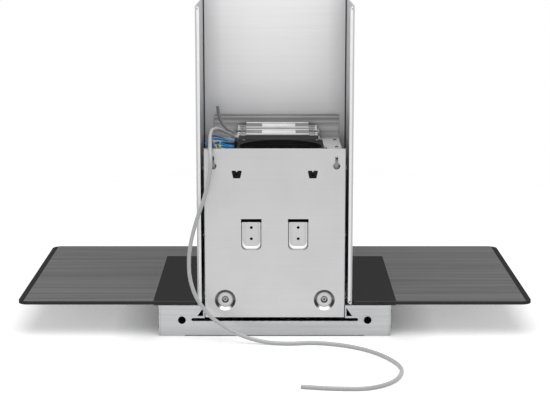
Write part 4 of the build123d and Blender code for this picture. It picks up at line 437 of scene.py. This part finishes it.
def pressed_plate():
    """Rear plate: rolled sheet with painted shade a little darker towards its top, painted shade and
    painted highlights on the walls of its pressings, and painted shade in its hollows.
    """
    finish = Finish("pressed_plate")
    low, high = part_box("housing_back_plate")
    x, y, z = finish.axes()
    # Painted shade: darker towards the top
    colour = finish.mix(finish.span(z, low.z, high.z), PLATE_FOOT, PLATE_HEAD)
    # Painted shade and painted highlights on the pressings' walls, by the way they face
    facing = finish.node("ShaderNodeNewGeometry").out("True_Normal")
    split = finish.node("ShaderNodeSeparateXYZ", Vector=facing)
    lean = abs(split.out("Y"))
    slope = (lean > SLOPE_LEAST) * (lean < SLOPE_MOST)
    field = slope * (abs(x) < PRESSED_HALF) * (z > PRESSED_LOW) * (z < PRESSED_HIGH)
    rising = finish.span(split.out("Z"), -SLOPE_RISE, SLOPE_RISE)
    dimple = stepped_ramp(finish, rising, DIMPLE_TONES)
    sunk = y > low.y + POCKET_LINE
    outer = stepped_ramp(finish, rising, POCKET_OUTER)
    inner = stepped_ramp(finish, rising, POCKET_INNER)
    pocket = finish.mix(sunk, outer, inner)
    walls = finish.mix(z > PRESSED_SPLIT, dimple, pocket)
    return rolled_shader(
        finish, colour, roughness=0.36, metallic=0.8, reach=0.007, open_range=(0.55, 0.97),
        hollow_shade=scaled(PLATE_HEAD, 0.3), walls=(field, walls),
    )


def bracket_steel():
    """Driver bracket: painted reflections as soft bands up its upstand and a dark top edge, a shaded lip by
    the wall, and painted shade in its hollows.
    """
    finish = Finish("bracket_steel")
    _, y, z = finish.axes()
    low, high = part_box("driver_bracket")
    # Painted reflections and painted shade: soft bands up the upstand and a dark top edge
    height = finish.span(z, low.z, high.z)
    bands = stepped_ramp(finish, height, BRACKET_BANDS)
    colour = finish.mix(y < low.y + BRACKET_LIP, bands, BRACKET_LIP_TONE)
    return rolled_shader(
        finish, colour, roughness=0.55, metallic=0.45, reach=0.02, hollow_shade=BRACKET_HOLLOW_SHADE
    )


def rolled_shader(
    finish, colour, roughness, metallic, reach, hollow_shade, along=0, open_range=(0.2, 0.9), walls=None
):
    """Rolled sheet round a colour or a pattern, with painted shade in its grooves and corners; hollow is
    that shade's colour and the dark end of its cloudy tone, walls a mask and a colour of painted shade and
    highlights.
    """
    lines = [ROLLING_ACROSS] * 3
    lines[along] = ROLLING_ALONG
    rolling = finish.noise(lines, detail=2.0)
    clouds = finish.noise((16, 16, 16), detail=4.0)
    grit = finish.noise((1800, 1800, 1800), detail=1.0)
    shade = rolling * 0.35 + clouds * 0.5 + grit * 0.15
    sheet = finish.mix(finish.span(shade, 0.35, 0.65, 0.09, 0.0), colour, hollow_shade)
    # Painted shade: the colour darkens in corners and grooves, by ambient occlusion
    open_share = finish.span(finish.nearness(reach), *open_range)
    surface = finish.mix(open_share, hollow_shade, sheet)
    # Painted shade and painted highlights over the walls' mask, where given
    if walls:
        surface = finish.mix(walls[0], surface, walls[1])
    return finish.principled(
        Base_Color=surface,
        Metallic=metallic,
        Roughness=finish.span(shade, 0.35, 0.65, roughness - 0.05, roughness + 0.07),
        Normal=finish.bump(rolling, distance=0.00003, strength=0.5, normal=finish.rounded(ROLLED_EDGE)),
    )


def moulded_plastic(name, colour, roughness=0.42, gloss=0.5):
    """Moulded plastic with a fine eroded grain and a little dust in its tone."""
    finish = Finish(name)
    texture = finish.noise((1600, 1600, 1600), detail=2.0)
    dust = finish.noise((24, 24, 24), detail=4.0)
    pale = tuple(min(1.0, level * DUST_GAIN + DUST_LIFT) for level in colour[:3]) + (1.0,)
    return finish.principled(
        Specular_IOR_Level=gloss,
        Base_Color=finish.mix(finish.span(dust, 0.4, 0.75), colour, pale),
        Roughness=finish.span(texture, NOISE_LOW, NOISE_HIGH, roughness - 0.05, roughness + 0.08),
        Normal=finish.bump(texture, distance=0.00004, strength=0.5, normal=finish.rounded(PLASTIC_EDGE)),
    )


def sheathing(name, colour, roughness=0.38, coat=0.2):
    """Soft cable sheath, slightly uneven and slightly rubbed."""
    finish = Finish(name)
    wave = finish.noise((60, 60, 60), detail=2.0)
    rub = finish.noise((420, 420, 420), detail=3.0)
    dark = scaled(colour, 0.9)
    return finish.principled(
        Base_Color=finish.mix(finish.span(rub, 0.35, 0.7), dark, colour),
        Roughness=finish.span(wave, NOISE_LOW, NOISE_HIGH, roughness - 0.06, roughness + 0.08),
        Coat_Weight=coat,
        Coat_Roughness=0.2,
        Normal=finish.bump(wave, distance=0.0002, strength=0.25),
    )


def bright_metal(name, colour, roughness):
    """Plated metal with tiny wear marks."""
    finish = Finish(name)
    marks = finish.noise((900, 900, 900), detail=3.0)
    dark = scaled(colour, 0.82)
    return finish.principled(
        Base_Color=finish.mix(finish.span(marks, 0.4, 0.65), dark, colour),
        Metallic=1.0,
        Roughness=finish.span(marks, NOISE_LOW, NOISE_HIGH, roughness - 0.05, roughness + 0.1),
        Normal=finish.bump(marks, distance=0.00002, strength=0.4, normal=finish.rounded(METAL_EDGE)),
    )


def smoked_glass():
    """Dark glass, printed black at its rim and over the pad, with a thin mirror sheen on it all.

    The brushed sheet under the wings is drawn on the top face, where the eye sees it through glass.
    """
    finish = Finish("smoked_glass")
    low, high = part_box("glass_panel")
    _, pad_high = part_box("glass_pad")
    x, y, z = finish.axes()
    across = abs(x) < high.x - GLASS_SIDE_RIM
    inside = across * (y > low.y + GLASS_WALL_RIM) * (y < high.y - GLASS_FRONT_RIM)
    over_pad = (abs(x) < pad_high.x + MM) * (y < pad_high.y + MM)
    window = inside * (1.0 - over_pad) * (z > high.z - MM)
    fine = finish.noise((5, 420, 5), detail=1.5)
    bands = finish.noise((1.6, 75, 1.6), detail=2.0)
    streaks = fine * 0.35 + bands * 0.65
    brushed = finish.mix(finish.span(streaks, NOISE_LOW, NOISE_HIGH), GLASS_STREAK_DARK, GLASS_STREAK_LIGHT)
    wipe = finish.noise((9, 40, 9), detail=3.0)
    body = finish.node(
        "ShaderNodeBsdfPrincipled", Base_Color=finish.mix(window, GLASS_BLACK, brushed),
        Roughness=0.6, Specular_IOR_Level=0.0,
    )
    sheen = finish.node(
        "ShaderNodeBsdfPrincipled", Base_Color=WHITE, Metallic=1.0,
        Roughness=finish.span(wipe, NOISE_LOW, NOISE_HIGH, 0.04, 0.12), Normal=finish.rounded(GLASS_EDGE),
    )
    return finish.blend(GLASS_SHEEN, body, sheen)


def foam_pad():
    """Closed cell foam, matt black."""
    finish = Finish("black_foam")
    cells = finish.node("ShaderNodeTexVoronoi", Vector=finish.place([FOAM_CELLS] * 3), Scale=1.0)
    return finish.principled(
        Base_Color=finish.mix(finish.span(cells, 0.0, 0.7), tone(30), tone(48)),
        Roughness=0.85,
        Normal=finish.bump(cells, distance=0.0002, strength=0.5),
    )


def striped_insulation():
    """Green insulation with a yellow stripe."""
    finish = Finish("green_yellow_insulation")
    x, y, z = finish.axes()
    turn = finish.noise((150, 150, 150), detail=0.0)
    wave = finish.node("ShaderNodeMath", {"operation": "SINE"}, Value=(x + z - y) * EARTH_TURN)
    return finish.principled(
        Base_Color=finish.mix(wave > EARTH_SHARE, EARTH_GREEN, EARTH_YELLOW),
        Roughness=finish.span(turn, NOISE_LOW, NOISE_HIGH, 0.35, 0.5),
    )


def frosted_lens():
    """Frosted lamp lens."""
    finish = Finish("frosted_lens")
    frost = finish.noise((1500, 1500, 1500), detail=2.0)
    return finish.principled(
        Base_Color=tone(244, 245, 240),
        Roughness=finish.span(frost, NOISE_LOW, NOISE_HIGH, 0.35, 0.55),
        Coat_Weight=0.4,
        Normal=finish.bump(frost, distance=0.00005, strength=0.5),
    )


# Earth wire: radians a metre of its stripe, where on the wave the yellow starts, and its colours
EARTH_TURN = 900.0
EARTH_SHARE = 0.1
EARTH_GREEN = tone(96, 160, 40)
EARTH_YELLOW = tone(232, 208, 20)

# Glass: the mirror's share, the printed rim's widths and the tones
GLASS_SHEEN = 0.03
GLASS_SIDE_RIM = 0.0105
GLASS_WALL_RIM = 0.002
GLASS_FRONT_RIM = 0.004
GLASS_BLACK = tone(26, 26, 27)
GLASS_STREAK_DARK = tone(96, 96, 97)
GLASS_STREAK_LIGHT = tone(123, 123, 124)

# Rear plate: its painted shade from foot to head, where its pressings are, and the painted shade and
# highlights of their walls from facing down to facing up
PLATE_FOOT = tone(222, 222, 223)
PLATE_HEAD = tone(206, 206, 207)
PRESSED_HALF = 0.108
PRESSED_LOW = 0.04
PRESSED_HIGH = 0.215
PRESSED_SPLIT = 0.1
SLOPE_LEAST = 0.25
SLOPE_MOST = 0.97
SLOPE_RISE = 0.75
DIMPLE_TONES = (
    (0.0, 96), (0.22, 132), (0.42, 150), (0.55, 96), (0.70, 62), (0.85, 84), (0.93, 250), (1.0, 252),
)
POCKET_LINE = 0.0013
POCKET_OUTER = ((0.0, 120), (0.45, 84), (0.55, 84), (0.75, 150), (1.0, 236))
POCKET_INNER = ((0.0, 120), (0.45, 238), (0.55, 238), (0.75, 240), (1.0, 236))

# Driver bracket: its shaded lip, the painted shade in its hollows, and painted reflections as bands from
# its foot to its top
BRACKET_LIP = 0.003
BRACKET_LIP_TONE = tone(82)
BRACKET_HOLLOW_SHADE = tone(110)
BRACKET_BANDS = (
    (0.0, 206), (0.10, 206), (0.30, 186), (0.44, 206), (0.62, 178), (0.72, 206), (0.80, 160),
    (0.86, 150), (0.92, 206), (0.955, 196), (1.0, 84),
)

# Chimney cover: its tones, and where they change. The inside tones are painted light, far lighter than the
# outside ones; the foot, corner, cheek and fold tones are painted shade
CHIMNEY_DARK = tone(241, 241, 242)
CHIMNEY_LIGHT = tone(251, 251, 252)
CHIMNEY_FOOT_SHADE = tone(222, 222, 223)
CHIMNEY_CORNER_SHADE = tone(214, 214, 215)
CHIMNEY_CHEEK_SHADE = tone(196, 196, 197)
CHIMNEY_FOLD_SHADE = tone(60, 60, 61)
CHIMNEY_FALL_LOW = 0.36
CHIMNEY_FALL_HIGH = 0.56
CHIMNEY_SKIN = 0.0004
CHIMNEY_CORNER = 0.003
CHIMNEY_CORNER_FALL = 0.036
CHIMNEY_FOLD = 0.006
CHIMNEY_FLANGE = 0.02
CHIMNEY_OUTER_DARK = tone(204, 205, 206)
CHIMNEY_OUTER_LIGHT = tone(222, 223, 224)

STEEL_OUTER = cross_grained_steel()
STEEL_BOX = brushed_steel("brushed_steel_box", tone(212, 213, 214), along=0, contrast=0.3)
STEEL_WINGS = brushed_steel("brushed_steel_wings", tone(205, 206, 207), along=0, contrast=0.4, hollow_shade_factor=1.0)
STEEL_PLATE = pressed_plate()
STEEL_WRAP = rolled_steel("rolled_steel_wrap", tone(222, 222, 223), along=2, hollow_shade_factor=0.8)
STEEL_CEILING = rolled_steel("rolled_steel_ceiling", tone(216, 216, 217), roughness=0.5)
GLASS = smoked_glass()
FOAM = foam_pad()
BLACK_PLASTIC = moulded_plastic("black_plastic", tone(34, 34, 35), roughness=0.55, gloss=0.03)
FAN_PLASTIC = moulded_plastic("fan_plastic", tone(70, 70, 72), roughness=0.5)
SCREW = bright_metal("bright_zinc_screw", tone(216, 216, 214), roughness=0.24)
DULL_SCREW = bright_metal("dull_zinc_screw", tone(122, 122, 121), roughness=0.42)
SHAFT = bright_metal("ground_shaft", tone(200, 200, 202), roughness=0.18)
MOTOR = moulded_plastic("motor_enamel", tone(86, 87, 90), roughness=0.4)
CAPACITOR = moulded_plastic("capacitor_case", tone(226, 226, 222), roughness=0.35)
ALUMINIUM = rolled_steel("filter_aluminium", tone(212, 213, 214), roughness=0.36)
LATCH_PLASTIC = moulded_plastic("latch_plastic", tone(60, 60, 62))
CHROME = bright_metal("lamp_chrome", tone(220, 220, 222), roughness=0.1)
LENS = frosted_lens()
LAMP_BODY = rolled_steel("lamp_body_cast", tone(196, 196, 198), roughness=0.5)
BUTTON_METAL = bright_metal("button_metal", tone(210, 210, 212), roughness=0.26)
BOARD = moulded_plastic("circuit_board", tone(30, 104, 70), roughness=0.35)
DRIVER_CASE = moulded_plastic("driver_case", tone(126, 126, 126), roughness=0.45)
DRIVER_WHITE = moulded_plastic("driver_white", tone(222, 222, 221), roughness=0.4)
TERMINAL = moulded_plastic("terminal_cream", tone(150, 150, 149), roughness=0.4)
CORD_SHEATH = sheathing("mains_sheath", tone(188, 189, 190), roughness=0.3, coat=0.5)
LEAD_SHEATH = sheathing("lead_sheath", tone(140, 140, 142))
GROMMET = moulded_plastic("grommet_rubber", tone(40, 40, 41), roughness=0.6)
WIRE_BLUE = sheathing("blue_insulation", tone(0, 150, 222), roughness=0.4, coat=0.05)
WIRE_GREY = sheathing("dark_grey_insulation", tone(58, 60, 66), roughness=0.35)
WIRE_VIOLET = sheathing("violet_insulation", tone(132, 128, 150), roughness=0.35)
WIRE_EARTH = striped_insulation()
STEEL_BRACKET = bracket_steel()
STEEL_CUP = rolled_steel("rolled_steel_cup", tone(176, 176, 177), hollow_shade_factor=0.9)

NODE_FINISHES = {
    "chimney_cover": STEEL_OUTER,
    "housing_wrap": STEEL_WRAP,
    "housing_back_plate": STEEL_PLATE,
    "housing_ceiling": STEEL_CEILING,
    "lower_casing": STEEL_BOX,
    "lower_rear_wall": STEEL_BOX,
    "underside_panel": STEEL_BOX,
    "glass_underplate": STEEL_WINGS,
    "driver_bracket": STEEL_BRACKET,
    "glass_clamp_strips": STEEL_WRAP,
    "motor_bracket": STEEL_WRAP,
    "glass_panel": GLASS,
    "glass_pad": FOAM,
    "outlet_plate": BLACK_PLASTIC,
    "flap_rear": BLACK_PLASTIC,
    "flap_front": BLACK_PLASTIC,
    "scroll_left": BLACK_PLASTIC,
    "scroll_right": BLACK_PLASTIC,
    "hook_blocks": BLACK_PLASTIC,
    "wire_connector": BLACK_PLASTIC,
    "control_box": BLACK_PLASTIC,
    "control_box_lid": BLACK_PLASTIC,
    "button_fascia": BLACK_PLASTIC,
    "fan_wheel": FAN_PLASTIC,
    "motor_shaft": SHAFT,
    "motor_body": MOTOR,
    "run_capacitor": CAPACITOR,
    "filter_frame": ALUMINIUM,
    "filter_mesh": ALUMINIUM,
    "filter_latch": LATCH_PLASTIC,
    "lamp_bezels": CHROME,
    "lamp_lenses": LENS,
    "lamp_bodies": LAMP_BODY,
    "button_off": BUTTON_METAL,
    "button_low": BUTTON_METAL,
    "button_medium": BUTTON_METAL,
    "button_high": BUTTON_METAL,
    "button_light": BUTTON_METAL,
    "switch_board": BOARD,
    "led_driver_rear": DRIVER_CASE,
    "led_driver_front": DRIVER_CASE,
    "terminal_blocks": TERMINAL,
    "terminal_screws": SCREW,
    "outlet_screws": SCREW,
    "housing_screws": DULL_SCREW,
    "casing_screws": DULL_SCREW,
    "clamp_screws": SCREW,
    "scroll_screws": DULL_SCREW,
    "wire_grommet": GROMMET,
    "keyhole_cups": STEEL_CUP,
}


def dress_nodes():
    """Give each carried-over node its finish."""
    for name, finish in NODE_FINISHES.items():
        data = NODES[name].data
        data.materials.clear()
        data.materials.append(finish)


def make_camera():
    """Camera at the photograph's place and angle."""
    data = bpy.data.cameras.new("camera")
    data.lens = CAMERA_LENS
    data.sensor_width = SENSOR_WIDTH
    data.clip_end = CAMERA_REACH
    camera = bpy.data.objects.new("camera", data)
    camera.location = CAMERA_PLACE
    camera.rotation_euler = (math.radians(90 - CAMERA_PITCH), 0, 0)
    bpy.context.scene.collection.objects.link(camera)
    bpy.context.scene.camera = camera


def make_world():
    """Pale surroundings: white where they are seen or mirrored, a softer fill as light."""
    world = bpy.data.worlds.new("studio")
    bpy.context.scene.world = world
    world.use_nodes = True
    tree = world.node_tree
    background = tree.nodes["Background"]
    background.inputs["Color"].default_value = WHITE
    path = tree.nodes.new("ShaderNodeLightPath")
    total = path.outputs["Is Camera Ray"]
    for name in ("Is Glossy Ray", "Is Transmission Ray"):
        add = tree.nodes.new("ShaderNodeMath")
        add.operation = "MAXIMUM"
        tree.links.new(total, add.inputs[0])
        tree.links.new(path.outputs[name], add.inputs[1])
        total = add.outputs[0]
    level = tree.nodes.new("ShaderNodeMapRange")
    tree.links.new(total, level.inputs["Value"])
    level.inputs["To Min"].default_value = WORLD_FILL
    level.inputs["To Max"].default_value = WORLD_SEEN
    tree.links.new(level.outputs[0], background.inputs["Strength"])


def make_light():
    """One large soft light overhead."""
    data = bpy.data.lights.new("softbox", "AREA")
    data.shape = "SQUARE"
    data.size = TOP_LIGHT_SIZE
    data.energy = TOP_LIGHT_WATTS
    light = bpy.data.objects.new("softbox", data)
    light.location = TOP_LIGHT_PLACE
    aim = Vector(TOP_LIGHT_AIM) - light.location
    light.rotation_euler = aim.to_track_quat("-Z", "Y").to_euler()
    bpy.context.scene.collection.objects.link(light)


def make_floor():
    """Plain pale floor that keeps the hood's shadow and fades into the white far from it.

    Seen by the camera it is lifted a little, and not under the lower box; the weaker lift beside the box is
    painted shade there.
    """
    finish = Finish("pale_floor")
    low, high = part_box("lower_casing")
    x, y, _ = finish.axes()
    beside = abs(x) - high.x
    beyond = abs(y - (low.y + high.y) / 2) - (high.y - low.y) / 2
    gap = finish.node("ShaderNodeMath", {"operation": "MAXIMUM"}, Value=beside, Value_001=beyond)
    # Painted shade: the lift is weaker near the lower box
    near = finish.span(gap, 0.0, FLOOR_NEAR, FLOOR_NEAR_SHARE, 1.0)
    lift = finish.node("ShaderNodeLightPath").out("Is_Camera_Ray") * (gap > 0.0) * near
    away = finish.node("ShaderNodeMath", {"operation": "SQRT"}, Value=x * x + y * y)
    pale = finish.node(
        "ShaderNodeBsdfPrincipled", Base_Color=FLOOR_COLOUR, Roughness=1.0,
        Specular_IOR_Level=0.0, Emission_Strength=FLOOR_LIFT,
        Emission_Color=finish.mix(lift, BLACK, WHITE),
    )
    clear = finish.node("ShaderNodeBsdfTransparent")
    finish.blend(finish.span(away, FLOOR_FADE_START, FLOOR_FADE_END), pale, clear)
    mesh = bmesh.new()
    bmesh.ops.create_grid(mesh, x_segments=1, y_segments=1, size=FLOOR_SIZE)
    floor = new_piece("floor", mesh, finish.material)


def new_piece(name, mesh, finish, slot=None, smooth=False):
    """Object from a finished bmesh, at the origin; a piece of the hood, given a slot, is put on the fixed
    body.
    """
    data = bpy.data.meshes.new(name)
    mesh.to_mesh(data)
    mesh.free()
    data.materials.append(finish)
    if smooth:
        data.polygons.foreach_set("use_smooth", [True] * len(data.polygons))
    piece = bpy.data.objects.new(name, data)
    bpy.context.scene.collection.objects.link(piece)
    if slot:
        dress(piece, slot)
    return piece


def dress(piece, slot, *nodes):
    """Put a piece on the fixed body and hide the nodes that it stands for; the slot is not used."""
    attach(piece, "root")
    if nodes:
        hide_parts(*nodes)


def line_piece(name, route, radius, finish, radii=None, sides=8):
    """Round cord on one smooth spline through its route; radii swell or narrow it by point."""
    curve = bpy.data.curves.new(name, "CURVE")
    curve.dimensions = "3D"
    curve.bevel_depth = radius
    curve.bevel_resolution = sides
    curve.resolution_u = CURVE_STEPS
    curve.use_fill_caps = True
    spline = curve.splines.new("NURBS")
    spline.points.add(len(route) - 1)
    for index, place in enumerate(route):
        spline.points[index].co = (*place, 1)
        if radii:
            spline.points[index].radius = radii[index]
    spline.order_u = 3
    spline.use_endpoint_u = True
    curve.materials.append(finish)
    piece = bpy.data.objects.new(name, curve)
    bpy.context.scene.collection.objects.link(piece)
    return piece


def boot_piece(name, exit_spot, route, diameter, finish):
    """Tapered strain relief from the terminal block's face onto the start of a cord."""
    start = spot(*exit_spot)
    first = spot(*route[0])
    ahead = (spot(*route[1]) - first).normalized()
    knee = start + Vector((-BOOT_KNEE * MM, 0, 0))
    points = [start, knee, first, first + ahead * BOOT_REACH * MM]
    boot = line_piece(name, points, diameter / 2 * MM, finish, radii=BOOT_SWELL)
    dress(boot, "cord_grey")
    return boot


def make_cords():
    """Mains cord, the short lead above it, and their strain reliefs."""
    mains_boot = boot_piece("mains_boot", MAINS_EXIT, MAINS_ROUTE, MAINS_DIAMETER, CORD_SHEATH)
    lead_boot = boot_piece("lead_boot", LEAD_EXIT, LEAD_ROUTE, LEAD_DIAMETER, LEAD_SHEATH)
    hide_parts("cord_boots")
    mains_points = [spot(*place) for place in MAINS_ROUTE]
    mains = line_piece("mains_cord_line", mains_points, MAINS_DIAMETER / 2 * MM, CORD_SHEATH)
    dress(mains, "cord_grey", "mains_cord")
    lead_points = [spot(*place) for place in LEAD_ROUTE]
    lead = line_piece("short_lead_line", lead_points, LEAD_DIAMETER / 2 * MM, LEAD_SHEATH)
    dress(lead, "lead_grey", "short_lead")


def make_wires():
    """Smooth wires in place of their solids."""
    for index, route in enumerate(BLUE_ROUTES):
        points = [spot(*place) for place in route]
        blue = line_piece(f"blue_wire_{index + 1}", points, WIRE_RADIUS * MM, WIRE_BLUE, sides=6)
        dress(blue, "wire_blue")
    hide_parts("wires_blue")
    singles = (
        ("grey_cable", GREY_ROUTE, CABLE_RADIUS, WIRE_GREY, "wire_dark_grey", "cable_grey"),
        ("violet_wire", VIOLET_ROUTE, WIRE_RADIUS, WIRE_VIOLET, "wire_violet", "wire_violet"),
        ("earth_wire", EARTH_ROUTE, WIRE_RADIUS, WIRE_EARTH, "wire_green_yellow", "wire_earth"),
    )
    for name, route, radius, finish, slot, node in singles:
        points = [spot(*place) for place in route]
        wire = line_piece(name, points, radius * MM, finish, sides=6)
        dress(wire, slot, node)


def shelf_matrix():
    """Turns places on the shelf (along, up the slope, off its face) into places in the frame."""
    turn = Matrix.Rotation(SHELF_SLOPE, 4, "X")
    return Matrix.Translation(spot(*SHELF_ORIGIN)) @ turn


def add_bar(mesh, low, high, matrix, round_by=0.3):
    """Bar with rounded edges between two corners given in millimetres."""
    size = [(b - a) * MM for a, b in zip(low, high)]
    middle = Vector([(a + b) / 2 * MM for a, b in zip(low, high)])
    stretch = Matrix.Diagonal((*size, 1))
    made = bmesh.ops.create_cube(mesh, size=1, matrix=Matrix.Translation(middle) @ stretch)
    verts = made["verts"]
    edges = {edge for vert in verts for edge in vert.link_edges}
    bevelled = bmesh.ops.bevel(
        mesh, geom=list(edges), offset=round_by * MM, affect="EDGES", segments=2, profile=0.5, material=-1
    )
    whole = {vert for face in bevelled["faces"] for vert in face.verts}
    bmesh.ops.transform(mesh, matrix=matrix, verts=list(whole))


def make_driver_covers():
    """Raised edges and blank label field on top of each lamp driver."""
    on_shelf = shelf_matrix()
    half = DRIVER_LENGTH / 2 - COVER_END_GAP
    for index, name in enumerate(("rear", "front")):
        start = index * DRIVER_PITCH
        end = start + DRIVER_WIDTH
        mesh = bmesh.new()
        top = DRIVER_TOP + BEAD_RISE
        under = DRIVER_TOP - COVER_SINK
        add_bar(mesh, (-half, start + COVER_SIDE_GAP, under), (half, start + BEAD_WIDTH, top), on_shelf)
        add_bar(mesh, (-half, end - BEAD_WIDTH, under), (half, end - COVER_SIDE_GAP, top), on_shelf)
        new_piece(f"driver_edges_{name}", mesh, DRIVER_WHITE, "driver_case")
        mesh = bmesh.new()
        add_bar(
            mesh, (LABEL_LEFT, start + BEAD_WIDTH + LABEL_GAP, under),
            (LABEL_RIGHT, end - BEAD_WIDTH - LABEL_GAP, top - LABEL_SINK), on_shelf,
        )
        new_piece(f"driver_label_{name}", mesh, DRIVER_WHITE, "driver_case")


def make_terminal_levers():
    """Row of small clamp levers on the outer end of each terminal block, with dark slots between."""
    on_shelf = shelf_matrix()
    levers = bmesh.new()
    slots = bmesh.new()
    for side in (-1, 1):
        inner = DRIVER_LENGTH / 2 + TERMINAL_LENGTH - LEVER_OVERLAP
        outer = inner + LEVER_REACH
        for index in range(2):
            middle = index * DRIVER_PITCH + DRIVER_WIDTH / 2
            for step in range(LEVER_COUNT):
                along = middle + (step - (LEVER_COUNT - 1) / 2) * LEVER_PITCH
                xs = sorted((side * inner, side * outer))
                low = (xs[0], along - LEVER_WIDTH / 2, TERMINAL_TOP - LEVER_DROP)
                high = (xs[1], along + LEVER_WIDTH / 2, TERMINAL_TOP + LEVER_RISE)
                add_bar(levers, low, high, on_shelf)
                gap = along + LEVER_PITCH / 2
                slot_xs = sorted((side * (inner - LEVER_OVERLAP), side * (outer - SLOT_SHORTER)))
                slot_low = (slot_xs[0], gap - SLOT_WIDTH / 2, TERMINAL_TOP - LEVER_DROP)
                slot_high = (slot_xs[1], gap + SLOT_WIDTH / 2, TERMINAL_TOP + SLOT_RISE)
                add_bar(slots, slot_low, slot_high, on_shelf, round_by=SLOT_ROUNDING)
    new_piece("terminal_levers", levers, DRIVER_WHITE, "terminal_cream")
    new_piece("terminal_slots", slots, BLACK_PLASTIC, "black_plastic")


def make_cup_shade_dots():
    """Small dark domes shaped as blind rivets on the sheet cups behind the keyholes: painted shade of small
    holes.
    """
    mesh = bmesh.new()
    for side in (-1, 1):
        for across, up in CUP_SHADE_DOTS:
            centre = spot(side * KEYHOLE_HALF + across, CUP_FLOOR, up)
            turn = Matrix.Rotation(math.radians(90), 4, "X")
            made = bmesh.ops.create_uvsphere(
                mesh, u_segments=16, v_segments=8, radius=SHADE_DOT_RADIUS * MM,
                matrix=Matrix.Translation(centre) @ turn,
            )
            bmesh.ops.scale(
                mesh, vec=(1, SHADE_DOT_FLATNESS, 1), space=Matrix.Translation(-centre), verts=made["verts"]
            )
    new_piece("cup_rivets", mesh, GROMMET, "screw_steel", smooth=True)


bpy.context.scene.view_settings.view_transform = "Standard"
make_camera()
make_world()
make_light()
make_floor()
make_cords()
make_wires()
make_driver_covers()
make_terminal_levers()
make_cup_shade_dots()
dress_nodes()
